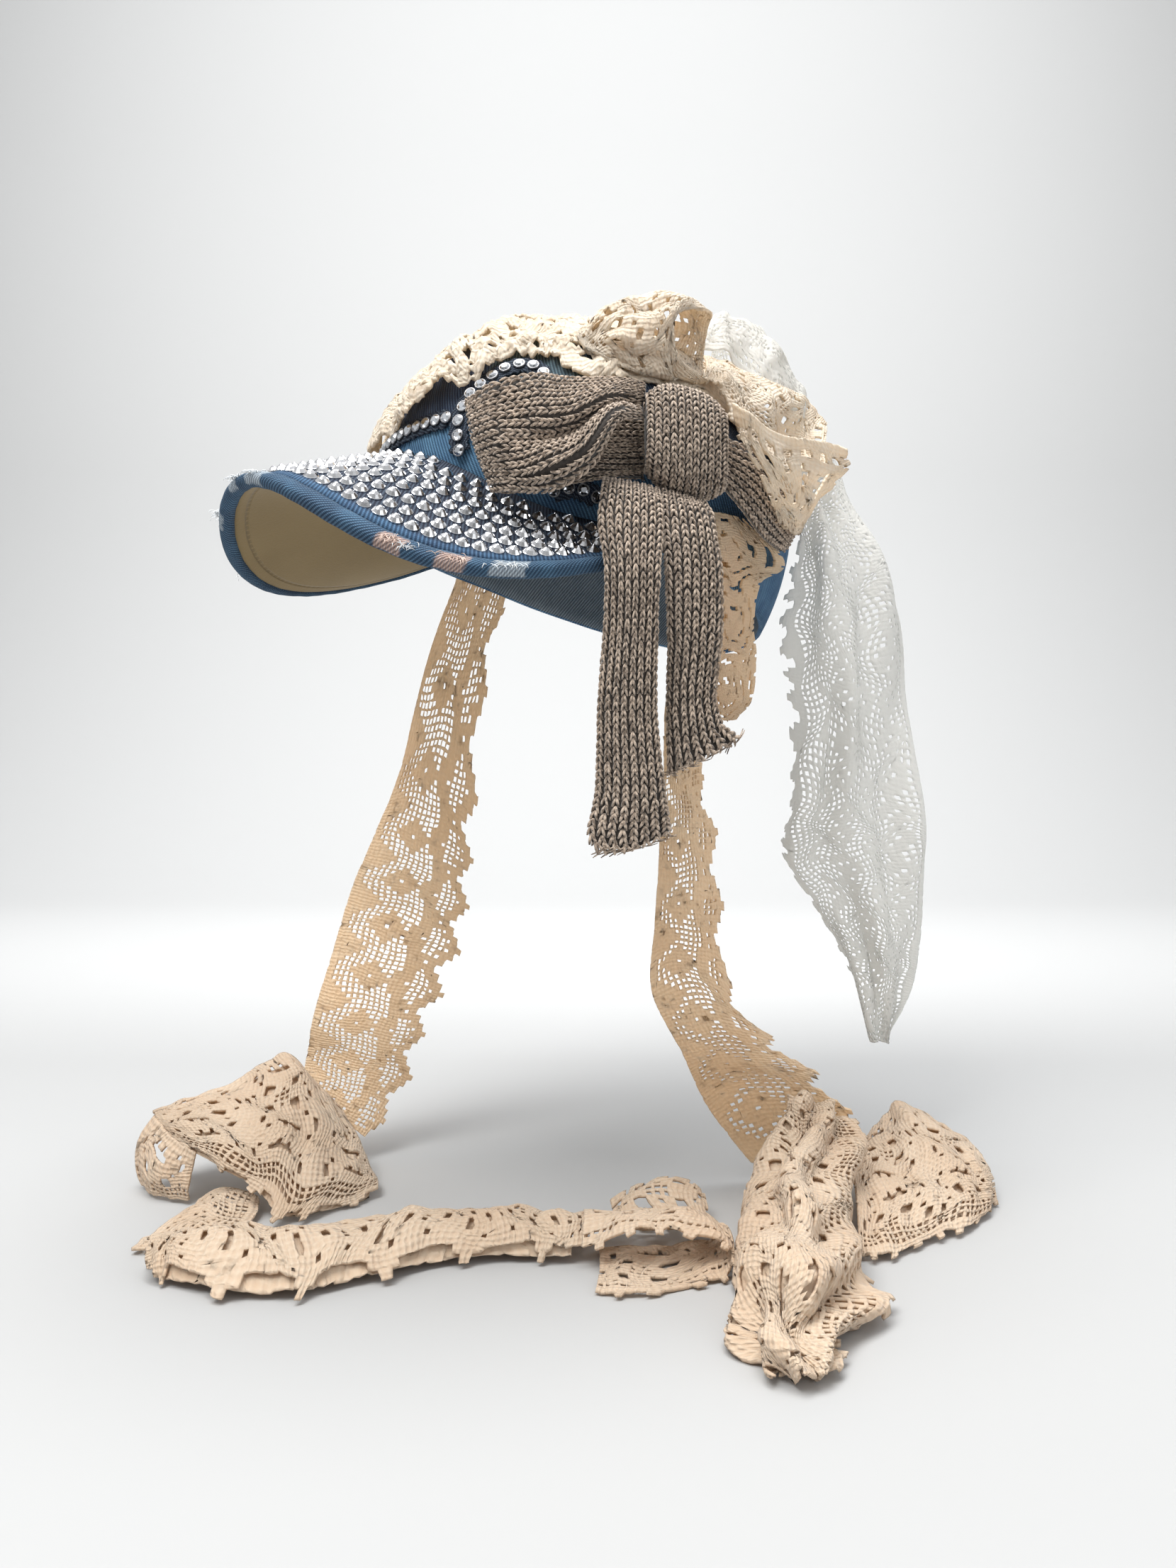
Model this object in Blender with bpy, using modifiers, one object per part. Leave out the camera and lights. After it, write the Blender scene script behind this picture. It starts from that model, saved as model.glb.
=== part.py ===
"""A denim peaked cap dressed with studs, a knitted bow and crochet lace ties.

Everything is in metres with +Z up. The origin is the centre of the head band, where a head
fills the cap. The cap faces -Y and is tilted a little, as it sits on a head. Tables are in
millimetres. Cloth that hangs or lies is written in a side frame that faces the wearer's left
front: across runs to the right of that view, near runs out of it and up runs up.
"""

from collections import namedtuple
from math import cos, pi, radians, sin, tan

import bmesh
import bpy
import numpy as np
from mathutils import Vector
from mathutils.geometry import delaunay_2d_cdt

MM = 0.001
GAP = 0.0003

# Driving sizes of the cap, in millimetres
CROWN_HALF_LENGTH = 101.0
CROWN_HALF_WIDTH = 81.0
CROWN_HEIGHT = 80.0
CROWN_TUCK = 100.0          # half height of the lower wall's curve, which turns in at the nape
CROWN_WALL = 2.0
RIM_BELOW_SEAM = 4.5
BROW_SAG = 82.0             # how far the peak's sides bend down, over SAG_REACH
BROW_EASE = 31.0
SAG_REACH = 85.0
PEAK_SLOPE = radians(23.0)
PEAK_REACH = 132.0
PEAK_ROOT = 34.0
PEAK_HALF_WIDTH = 96.5
PEAK_ROUND = 2.1
PEAK_ROOT_ANGLE = radians(78.0)
SEAM_GAP = 0.7
BOARD_THICK = 2.6
LINING_THICK = 0.9
BINDING_WIDTH = 7.0
BINDING_PROUD = 0.7
DENIM_BORDER = 12.0
STUD_PITCH = 6.9
STUD_ROW = 6.0
STUD_TALL = 4.0
STUD_BACKING = 1.0
STONE_PITCH = 6.4
STONE_RADIUS = 2.6
STONE_TALL = 2.6
CLOTH = 1.6
LACE_WHITE = 1.0
KNIT = 4.0
FLOOR = -300.0

# How the cap sits, and where the side frame looks from
CAP_PITCH = radians(6.0)
CAP_ROLL = radians(-5.0)
SIDE_VIEW = radians(42.0)

Across = Vector((sin(SIDE_VIEW), cos(SIDE_VIEW), 0.0))
Near = Vector((cos(SIDE_VIEW), -sin(SIDE_VIEW), 0.0))
SIDE_FRAME = np.array([Across, Near, (0.0, 0.0, 1.0)])

RimRow = namedtuple("RimRow", "angle height")
# Height of the seam above the head band's centre, by the angle round from the front
RIM = [
    RimRow(0, 0.0),
    RimRow(15, -3.4),
    RimRow(30, -11.2),
    RimRow(45, -18.1),
    RimRow(60, -20.6),
    RimRow(90, -24.0),
    RimRow(135, -35.0),
    RimRow(180, -42.0),
]

Section = namedtuple(
    "Section",
    "a_across a_near a_up mid_across mid_near mid_up b_across b_near b_up",
)

TAIL_LONG = [
    Section(3, 98, -12.6, 14, 97, -11.6, 24, 96, -11),
    Section(2, 114, -26, 13, 118, -27, 24, 112, -26),
    Section(4, 119, -44, 13, 121, -44, 23, 116, -43),
    Section(4, 115, -63, 13, 119, -64, 22, 115, -63),
    Section(2, 112, -94, 12, 116, -94, 22, 112, -94),
    Section(1, 110, -122, 13, 115, -122, 25, 111, -122),
    Section(-2, 112, -137, 12, 114, -138, 27, 110, -134),
    Section(0, 113, -143, 13, 113, -143, 27, 110, -137),
]
TAIL_SHORT = [
    Section(28, 95, -14, 35, 93, -15.8, 41, 90, -15.8),
    Section(28, 107, -27, 35, 106, -26, 43, 99, -26),
    Section(28, 110, -42, 36, 110, -43, 45, 102, -42),
    Section(27, 107, -68, 36, 109, -68, 46, 102, -67),
    Section(27, 104, -88, 35, 107, -88, 44, 101, -87),
    Section(27, 104, -103, 36, 106, -102, 47, 100, -98),
    Section(27, 104, -116, 38, 104, -111, 54, 98, -103),
]
LOOP_FRONT = [
    Section(19, 95, 28, 18, 98, 20, 18, 99, 14),
    Section(9, 100, 28, 6, 110, 17, 8, 111, 9),
    Section(-7, 104, 27, -8, 117, 6, -1, 114, -7),
    Section(-19, 107, 27, -22, 121, 2, -17, 117, -17),
    Section(-35, 107, 23, -36, 118, 1, -31, 116, -17),
    Section(-46, 101, 21, -44, 107, 2, -38, 110, -15),
    Section(-36, 95, 27, -35, 99, 5, -29, 103, -13),
    Section(-20, 94, 30, -19, 99, 7, -18, 99, -12),
    Section(-2, 91, 30, -1, 96, 6, 1, 97, -7),
    Section(18, 84, 26, 18, 89, 8, 18, 91, -5),
]
LOOP_BACK = [
    Section(55.1, 75.6, 15, 55.1, 78.6, 4, 54.4, 77.6, -5),
    Section(66, 66, 10, 62, 72, -2, 59, 71, -13),
    Section(76, 50, 2, 73, 58, -10, 69, 58, -21),
    Section(87, 29, -7, 84, 33, -15, 79, 40, -22),
    Section(79, 38, 3, 74, 46, -7, 69, 50, -17),
    Section(67, 56, 12, 62, 61, 0, 59, 64, -10),
    Section(57, 66, 16, 56, 68, 6, 55, 70, -3),
]
TIE_NEAR = [
    Section(44, 70, -20, 52, 62, -20, 60, 54, -20),
    Section(36, 70, -52, 46, 63, -51, 56, 52, -49),
    Section(29, 70, -85, 39, 65, -85, 50, 54, -84),
    Section(28, 66, -118, 36, 64, -117, 45, 52, -116),
    Section(27, 58, -145, 38, 62, -144, 51, 50, -141),
    Section(26, 50, -177, 40, 56, -175, 55, 44, -179),
    Section(25, 42, -208, 43, 50, -202, 62, 38, -216),
    Section(38, 34, -234, 57, 42, -229, 86, 30, -235),
    Section(50, 24, -261, 76, 32, -250, 110, 22, -259),
    Section(71, 9, -290, 94, 11.6, -285, 126, -4.6, -281.6),
]
TIE_FAR = [
    Section(-65, -48, -12, -54, -59.5, -12, -40, -72, -12),
    Section(-83, -51, -60, -68, -57, -61, -52, -64, -60),
    Section(-97, -52, -115, -78, -48, -115, -58, -54, -129),
    Section(-109, -50, -147, -83, -45, -154, -60, -52, -164),
    Section(-120, -47, -174, -89, -42, -181, -63, -50, -193),
    Section(-128, -43, -202, -99, -38, -209, -71, -46, -219),
    Section(-136, -40, -233, -107, -35, -237, -82, -42, -243),
    Section(-140, -37, -255, -113, -32, -260, -90, -38, -268),
    Section(-142, -24, -276, -122, -24, -281, -106, -25, -292),
]
LACE_EAR = [
    Section(45, 72, -14, 52, 67, -13, 61, 60, -14),
    Section(44, 72, -27, 56, 62, -27, 83, 22, -24),
    Section(43, 74, -41, 55, 62, -39, 71, 38, -35),
    Section(42, 74, -57, 54, 64, -58, 66, 48, -54),
    Section(42, 72, -71, 54, 64, -70, 67, 50, -67),
    Section(43, 70, -85, 54, 63, -85, 65, 51, -85),
    Section(45, 67, -94, 52, 63, -95, 58, 55, -94),
]
HEAP_FAR_PANEL = [
    Section(-197, 10, -267, -192, 16, -270, -186, 22, -274),
    Section(-183, -8, -265, -169, 22, -268, -161, 38, -281),
    Section(-161, -16, -257, -143, 28, -267, -143, 50, -289),
    Section(-144, -19.6, -247.6, -126, 22, -270, -129, 58, -298),
    Section(-128, -22, -268, -109, 14, -282, -113, 52, -298),
    Section(-111, -22, -293, -100, 5, -293, -92, 32, -298),
]
HEAP_FAR_ROLL = [
    Section(-196, 9, -269.0, -203, 10, -285, -199, 14, -298),
    Section(-186, 20, -279, -187, 27, -288, -183, 22, -298),
    Section(-170, 30, -288, -168, 31, -293, -167, 24, -298),
]
HEAP_FAR_FOLD = [
    Section(-165, 34, -296, -154, 36, -292, -142, 36, -296),
    Section(-168, 48, -297, -154, 52, -293, -138, 54, -297),
    Section(-174, 68, -298, -158, 70, -296, -142, 72, -298),
    Section(-176, 86, -298, -160, 87, -297, -142, 88, -298),
]
FLOOR_STRIP = [
    Section(-166, 98, -298, -163, 104, -290, -160, 110, -298),
    Section(-159, 89, -298, -151, 101, -285, -150, 118, -298),
    Section(-135, 90, -298, -125, 102, -283, -119, 130, -298),
    Section(-110, 88, -298, -101, 101, -284, -98, 126, -298),
    Section(-79, 78, -298, -74, 89, -283, -74, 112, -298),
    Section(-49, 70, -298, -47, 83, -284, -47, 98, -298),
    Section(-27, 68, -298, -24, 82, -284, -23, 97, -298),
    Section(-5.5, 68, -298, -4.5, 83, -285, -5.5, 100, -296),
]
STRIP_LOOP = [
    Section(-4.6, 69, -297, -3.6, 84, -285, -4.6, 100, -294),
    Section(16, 67, -297, 18, 86, -283, 16, 106, -284),
    Section(36, 67, -297, 38, 86, -283, 34, 108, -284),
    Section(49, 70, -297, 51, 88, -290, 50, 108, -291),
    Section(42, 78, -298, 43, 94, -297, 45, 113, -298),
    Section(23, 82, -298, 20, 104, -298, 16, 124, -298),
    Section(2, 84, -298, 2, 104, -298, 0, 123, -298),
]
STRIP_FLAP = [
    Section(7, 50, -292, 8, 56, -295, 10, 65, -298),
    Section(20, 45, -287, 21, 53, -290, 23, 65.5, -298),
    Section(37, 44, -285, 37, 52, -289, 39, 65.6, -298),
    Section(46, 47, -290, 47, 55, -293, 47, 66, -298),
]
HEAP_NEAR_FAN = [
    Section(114.4, 6, -284, 107, 52, -284, 99.6, 94, -298),
    Section(131, -4, -278, 122, 50, -285, 114, 92, -298),
    Section(143, -10, -269, 142, 40, -280, 138, 74, -298),
    Section(161, -4, -277, 160, 33, -283, 160, 53, -298),
    Section(175, 8, -287, 174, 24, -291, 172, 37, -298),
]
HEAP_NEAR_FRONT = [
    Section(83, 36, -252, 94, 42, -253, 106, 38, -262),
    Section(76, 42, -264, 91, 54, -261, 112, 46, -271),
    Section(67, 48, -282, 83, 72, -265, 106, 60, -280),
    Section(60, 66, -296, 75, 92, -268, 101, 78, -292),
    Section(53.3, 96, -298, 71, 122, -268, 98, 98, -298),
    Section(50, 130, -298, 64, 147, -272, 96, 136, -298),
    Section(46, 155, -298, 59, 168, -284, 81, 156, -298),
    Section(55, 176, -298, 62, 183, -297, 71, 174, -298),
]
DRAPE_TOP = [
    Section(46, 36, 61, 47, 47, 52, 43, 60, 41),
    Section(63, 24, 61, 58, 46, 49, 51, 64, 38),
    Section(86, -5, 63, 76, 30, 43, 57, 66, 26),
    Section(102, -20, 61, 90, 8, 41, 72, 46, 22),
    Section(113, -28, 53, 108, -2, 39, 105, 22.8, 22.9),
]
DRAPE_FRONT = [
    Section(57, 81, 18, 74, 70, 13, 105.3, 23.1, 22.3),
    Section(59, 87, 5, 78, 74, 3, 109, 26, 17),
    Section(64, 85, -4, 81, 66, -5, 101, 32, 6),
    Section(71, 72, -11, 82, 58, -12, 92, 37, -6),
    Section(78, 54, -16, 82, 50, -17, 86, 42, -16),
]
PUFF = [
    Section(44, 22, 70, 54, 0, 93, 56, -30, 78),
    Section(61, 12, 70, 63, -5, 95, 68, -40, 74),
    Section(75, 0, 67, 80, -15, 92, 83, -48, 69),
    Section(88, -10, 65, 91, -22, 81, 96, -50, 63),
    Section(99, -20, 61, 102, -28, 68, 105, -46, 58),
]
TAIL_WHITE = [
    Section(92, -18, 36, 105, -28, 38, 119, -36, 40),
    Section(94, -18, 9, 110, -22, 11, 126, -34, 18),
    Section(96, -20, -18, 115, -12, -16, 143, -36, -11),
    Section(93, -24, -49, 117, -12, -49, 153, -38, -45),
    Section(97, -26, -84, 121, -14, -85, 153, -38, -84),
    Section(95, -28, -129, 121, -16, -129, 158, -38, -129),
    Section(90, -30, -153, 122, -18, -155, 160, -38, -160),
    Section(108, -30, -182, 131, -22, -186, 159, -36, -195),
    Section(123, -30, -211, 137, -26, -214, 155, -34, -218),
    Section(133, -30, -242, 138, -30, -245, 144, -32, -244),
]

BorderRow = namedtuple("BorderRow", "angle height ruffle")
# The lower border of the lace over the crown, by the angle round from the front
LACE_BORDER = [
    BorderRow(-180, 18, 2),
    BorderRow(-135, 6, 2),
    BorderRow(-100, -14, 1),
    BorderRow(-75, -8, 1),
    BorderRow(-45, 6, 3),
    BorderRow(-20, 10, 3),
    BorderRow(2, 15, 4),
    BorderRow(14, 28, 4),
    BorderRow(28, 44, 3),
    BorderRow(38, 43, 1.5),
    BorderRow(46, 37, 0.5),
    BorderRow(60, 36, 0.5),
    BorderRow(80, 38, 0.5),
    BorderRow(100, 34, 0.5),
    BorderRow(125, 26, 0.5),
    BorderRow(150, 20, 2),
    BorderRow(180, 18, 2),
]

RosetteRing = namedtuple("RosetteRing", "across near up radius")
ROSETTE = [
    RosetteRing(-5, 68, 50, 3),
    RosetteRing(-1, 68, 52, 9),
    RosetteRing(8, 69, 55, 15),
    RosetteRing(20, 68, 57, 18.5),
    RosetteRing(32, 66, 57.5, 18),
    RosetteRing(42, 65, 57, 14),
    RosetteRing(47, 65, 57, 11),
]

ChainEnd = namedtuple("ChainEnd", "angle height")
CHAINS = {
    "stone_chain_front": [
        ChainEnd(-30, 0),
        ChainEnd(-15, 5),
        ChainEnd(0, 8.5),
        ChainEnd(15, 12),
    ],
    "stone_chain_upright": [ChainEnd(20, 22), ChainEnd(19, 12), ChainEnd(21, -1)],
    "stone_chain_upper": [
        ChainEnd(22, 26),
        ChainEnd(27, 34),
        ChainEnd(33, 36.5),
        ChainEnd(38, 33),
    ],
    "stone_chain_side": [ChainEnd(46, -12.5), ChainEnd(51, -10), ChainEnd(56, -12)],
}


def clear_scene():
    """Empty the file before building."""
    for obj in list(bpy.data.objects):
        bpy.data.objects.remove(obj, do_unlink=True)


def material(name, colour, roughness, metallic=0.0):
    """A plain finish of one colour."""
    finish = bpy.data.materials.new(name)
    finish.use_nodes = True
    shader = finish.node_tree.nodes["Principled BSDF"]
    shader.inputs["Base Color"].default_value = (*colour, 1.0)
    shader.inputs["Roughness"].default_value = roughness
    shader.inputs["Metallic"].default_value = metallic
    return finish


def smooth_between(rows, place):
    """A smooth curve through the rows, read at place from 0 to 1."""
    values = np.asarray(rows, float)
    last = len(values) - 1
    place = min(max(place, 0.0), 1.0) * last
    i = min(int(place), last - 1)
    t = place - i
    before = values[i - 1] if i > 0 else 2 * values[0] - values[1]
    after = values[i + 2] if i + 2 <= last else 2 * values[last] - values[last - 1]
    here, there = values[i], values[i + 1]
    slope_in = 0.5 * (there - before)
    slope_out = 0.5 * (after - here)
    return (
        (2 * t**3 - 3 * t**2 + 1) * here
        + (t**3 - 2 * t**2 + t) * slope_in
        + (3 * t**2 - 2 * t**3) * there
        + (t**3 - t**2) * slope_out
    )


def from_side_frame(point):
    """Across, near and up, in millimetres, as a place in metres."""
    return (np.asarray(point, float) @ SIDE_FRAME) * MM


def from_cap(forward, left, up):
    """A place on the upright cap, in millimetres, tilted to how it sits, in metres."""
    rolled_left = left * cos(CAP_ROLL) - up * sin(CAP_ROLL)
    rolled_up = left * sin(CAP_ROLL) + up * cos(CAP_ROLL)
    tipped_forward = forward * cos(CAP_PITCH) - rolled_up * sin(CAP_PITCH)
    tipped_up = forward * sin(CAP_PITCH) + rolled_up * cos(CAP_PITCH)
    return np.array([rolled_left, -tipped_forward, tipped_up]) * MM


CAP_TURN = np.array([from_cap(1, 0, 0), from_cap(0, 1, 0), from_cap(0, 0, 1)]) / MM


def to_cap(place):
    """The reverse of from_cap."""
    return CAP_TURN @ (np.asarray(place) / MM)


def lifted(place, least):
    """Move a place out of the crown until it lies at least this far off its surface."""
    forward, left, up = to_cap(place)
    tall = CROWN_HEIGHT if up > 0 else CROWN_TUCK
    reach = np.array([CROWN_HALF_LENGTH, CROWN_HALF_WIDTH, tall]) + least
    depth = np.linalg.norm(np.array([forward, left, up]) / reach)
    if depth >= 1.0:
        return place
    return from_cap(forward / depth, left / depth, up / depth)


def rim_height(angle):
    """Height of the seam at an angle in radians round from the front."""
    degrees = abs(angle) * 180 / pi
    return float(np.interp(degrees, [r.angle for r in RIM], [r.height for r in RIM]))


def soft_rim_height(angle):
    """The seam's height with its table's corners rounded."""
    spread = radians(6.0)
    return sum(rim_height(abs(angle) + k * spread) for k in (-1, 0, 1)) / 3.0


def crown_point(angle, height, lift=0.0):
    """A place on the crown's outer face, at an angle from the front and a height."""
    tall = CROWN_HEIGHT if height > 0 else CROWN_TUCK
    shrink = np.sqrt(max(1.0 - (height / tall) ** 2, 0.0))
    forward = CROWN_HALF_LENGTH * cos(angle) * shrink
    left = CROWN_HALF_WIDTH * sin(angle) * shrink
    normal = np.array(
        [forward / CROWN_HALF_LENGTH**2, left / CROWN_HALF_WIDTH**2, height / tall**2]
    )
    normal = normal / np.linalg.norm(normal)
    return from_cap(*(np.array([forward, left, height]) + normal * lift))


def mesh_object(name, vertices, faces, finish):
    """A smooth shaded object from places and faces."""
    mesh = bpy.data.meshes.new(name)
    mesh.from_pydata([tuple(v) for v in vertices], [], faces)
    mesh.update()
    mesh.shade_smooth()
    mesh.set_sharp_from_angle(angle=radians(50))
    obj = bpy.data.objects.new(name, mesh)
    obj.data.materials.append(finish)
    PARTS.objects.link(obj)
    return obj


def thicken(obj, thickness, offset=0.0):
    """Give an open surface a cloth's thickness."""
    wall = obj.modifiers.new("Wall", "SOLIDIFY")
    wall.thickness = thickness * MM
    wall.offset = offset
    wall.use_even_offset = False
    return obj


def grid_faces(across, along, holes=()):
    """Faces of a grid of across by along cells, with some cells left out."""
    faces = []
    for j in range(along):
        for i in range(across):
            if (i, j) in holes:
                continue
            a = j * (across + 1) + i
            faces.append((a, a + 1, a + across + 2, a + across + 1))
    return faces


def eyelets(across, along, every_across, every_along):
    """Cells to leave out as eyelets, staggered, none touching another."""
    cells = set()
    for row, j in enumerate(range(1, along - 1, every_along)):
        start = 1 + (row % 2) * (every_across // 2)
        for i in range(start, across - 1, every_across):
            cells.add((i, j))
    return cells


Ripple = namedtuple("Ripple", "depth waves_along waves_across")
FLAT = Ripple(0.0, 1, 0)


def band_point(rows, u, v, ripple):
    """A place on a band: u runs from edge a to edge b and v from the first row to the last."""
    row = smooth_between(rows, v)
    edge_a, middle, edge_b = row[0:3], row[3:6], row[6:9]
    place = (
        edge_a * (1 - u) * (1 - 2 * u) + middle * 4 * u * (1 - u) + edge_b * u * (2 * u - 1)
    )
    wave = sin(2 * pi * (ripple.waves_along * v + ripple.waves_across * u))
    place[1] += ripple.depth * min(3 * v, 1.0) * wave * (0.3 + 0.7 * abs(2 * u - 1))
    place[2] = max(place[2], FLOOR + CLOTH / 2 + 0.2)
    return from_side_frame(place)


def band(name, rows, cells, thickness, finish, ripple=FLAT, least_lift=None, holes=()):
    """A band of cloth lofted through its sections and given its thickness."""
    across, along = cells
    places = []
    for j in range(along + 1):
        for i in range(across + 1):
            place = band_point(rows, i / across, j / along, ripple)
            if least_lift is not None:
                place = lifted(place, least_lift)
            places.append(place)
    obj = mesh_object(name, places, grid_faces(across, along, holes), finish)
    return thicken(obj, thickness)


def peak_drop(forward, left):
    """Height of the peak's upper face."""
    bend = (left / SAG_REACH) ** 2
    sag = -BROW_SAG * bend + BROW_EASE * bend**2
    return sag - tan(PEAK_SLOPE) * (forward - CROWN_HALF_LENGTH)


def seam_place(s):
    """Forward and left of the seam between peak and crown, s from -1 to 1."""
    angle = s * PEAK_ROOT_ANGLE
    return np.array(
        [
            (CROWN_HALF_LENGTH + SEAM_GAP) * cos(angle),
            (CROWN_HALF_WIDTH + SEAM_GAP) * sin(angle),
        ]
    )


def edge_place(s):
    """Forward and left of the peak's outer edge, s from -1 to 1."""
    side = 1.0 if s >= 0 else -1.0
    bow_end, turn = 0.8, radians(74.0)

    def bow(t):
        left = PEAK_HALF_WIDTH * sin(t) ** (2 / PEAK_ROUND)
        return np.array([PEAK_ROOT + PEAK_REACH * cos(t) ** (2 / PEAK_ROUND), left])

    size = abs(s)
    if size <= bow_end:
        place = bow(size / bow_end * turn)
    else:
        start, end = bow(turn), seam_place(1.0)
        t = (size - bow_end) / (1 - bow_end)
        leave, arrive = np.array([-58.0, 7.0]), np.array([-38.0, -30.0])
        place = (
            (2 * t**3 - 3 * t**2 + 1) * start
            + (t**3 - 2 * t**2 + t) * leave
            + (3 * t**2 - 2 * t**3) * end
            + (t**3 - t**2) * arrive
        )
    return np.array([place[0], side * place[1]])


def above_peak(forward, left, rise):
    """A place in metres, this far off the peak's upper face along its normal."""
    bend = left / SAG_REACH
    side_slope = (-2 * BROW_SAG * bend + 4 * BROW_EASE * bend**3) / SAG_REACH
    normal = np.array([tan(PEAK_SLOPE), -side_slope, 1.0])
    normal = normal / np.linalg.norm(normal)
    return from_cap(*(np.array([forward, left, peak_drop(forward, left)]) + normal * rise))


def peak_width(s):
    """Distance from seam to edge along the peak."""
    return float(np.linalg.norm(edge_place(s) - seam_place(s)))


def peak_place(s, from_edge):
    """Forward and left of the place this far in from the edge."""
    inward = (seam_place(s) - edge_place(s)) / max(peak_width(s), 1e-6)
    return edge_place(s) + inward * from_edge


def peak_point(s, from_edge, drop=0.0):
    """A place on the peak in metres, drop below its upper face."""
    return above_peak(*peak_place(s, from_edge), -drop)


def board_edge(s):
    """How far in from the outer edge the board ends, which narrows at the roots."""
    return min(BINDING_WIDTH, 0.6 * peak_width(s))


def build_crown():
    """The denim crown: a dome with an arched front rim, low at the nape."""
    around, rings = 28, 7
    places = []
    for j in range(rings):
        for i in range(around):
            angle = 2 * pi * i / around - pi
            low = soft_rim_height(angle) - RIM_BELOW_SEAM
            start, end = np.arcsin(low / CROWN_TUCK), pi / 2
            bend = start + (end - start) * j / rings
            tall = CROWN_HEIGHT if bend > 0 else CROWN_TUCK
            places.append(crown_point(angle, tall * sin(bend)))
    places.append(crown_point(0.0, CROWN_HEIGHT - 1e-4))
    faces = []
    for j in range(rings - 1):
        for i in range(around):
            a, b = j * around + i, j * around + (i + 1) % around
            faces.append((a, b, b + around, a + around))
    top = len(places) - 1
    ring = (rings - 1) * around
    for i in range(around):
        faces.append((ring + i, ring + (i + 1) % around, top))
    obj = mesh_object("crown", places, faces, DENIM)
    thicken(obj, CROWN_WALL, -1.0)


def seam_inset(s, drop):
    """How far from the seam a layer starts, for its underside to clear the crown."""
    inset = 0.0
    while inset < 0.5 * peak_width(s):
        place = peak_point(s, peak_width(s) - inset, drop)
        if np.allclose(lifted(place, SEAM_GAP), place):
            break
        inset += 0.2
    return inset


def build_peak_layer(name, top_drop, thickness, cells, finish):
    """A layer of the peak inside its binding: the board or the lining under it."""
    across, along = cells
    reach = 0.965
    places = []
    for j in range(along + 1):
        s = reach * (2 * j / along - 1)
        for i in range(across + 1):
            inner = peak_width(s) - seam_inset(s, top_drop + thickness)
            outer = board_edge(s) + 0.8
            places.append(peak_point(s, inner + (outer - inner) * i / across, top_drop))
    obj = mesh_object(name, places, grid_faces(across, along), finish)
    thicken(obj, thickness, -1.0)


def build_binding():
    """The rolled denim edging along the peak's outer edge."""
    along = 36
    reach = 0.975
    low = BOARD_THICK + LINING_THICK + GAP / MM
    places, faces = [], []
    for j in range(along + 1):
        s = reach * (2 * j / along - 1)
        width = board_edge(s) - GAP / MM
        profile = [
            (width, -BINDING_PROUD * 0.5),
            (width * 0.45, -BINDING_PROUD),
            (0.0, low * 0.35),
            (width * 0.45, low + BINDING_PROUD),
            (width, low + BINDING_PROUD * 0.5),
        ]
        places += [peak_point(s, inward, drop) for inward, drop in profile]
    sides = 5
    for j in range(along):
        for i in range(sides):
            a, b = j * sides + i, j * sides + (i + 1) % sides
            faces.append((a, a + sides, b + sides, b))
    faces.append(tuple(range(sides)))
    faces.append(tuple(along * sides + i for i in reversed(range(sides))))
    obj = mesh_object("peak_binding", places, faces, BINDING)
    face_out(obj)


def face_out(obj):
    """Turn a closed mesh's faces to point out."""
    shape = bmesh.new()
    shape.from_mesh(obj.data)
    bmesh.ops.recalc_face_normals(shape, faces=shape.faces)
    shape.to_mesh(obj.data)
    shape.free()


def stud_sites():
    """Forward and left of every stud tip, and of the bare ring of ground round them."""
    tips, ground = [], []
    fine = np.linspace(-0.9, 0.9, 721)
    widths = np.array([peak_width(s) for s in fine])
    rows = int((max(widths) - DENIM_BORDER) / STUD_ROW) + 1
    for row in range(-1, rows + 1):
        inward = DENIM_BORDER + 1.5 + row * STUD_ROW
        room = fine[widths >= inward + 2.0]
        if len(room) < 2:
            continue
        line = np.array([peak_place(s, inward) for s in room])
        run = np.concatenate([[0], np.cumsum(np.linalg.norm(np.diff(line, axis=0), axis=1))])
        count = int(run[-1] / STUD_PITCH)
        start = (run[-1] - count * STUD_PITCH) / 2 + (row % 2) * STUD_PITCH / 2
        for k in range(count + 1 - row % 2):
            at = start + k * STUD_PITCH
            place = np.array([np.interp(at, run, line[:, 0]), np.interp(at, run, line[:, 1])])
            at_end = k == 0 or k == count - row % 2
            near_seam = np.interp(at, run, widths[widths >= inward + 2.0]) < inward + 5.5
            bare = row == -1 or at_end or near_seam
            (ground if bare else tips).append(place)
    return tips, ground


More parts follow.
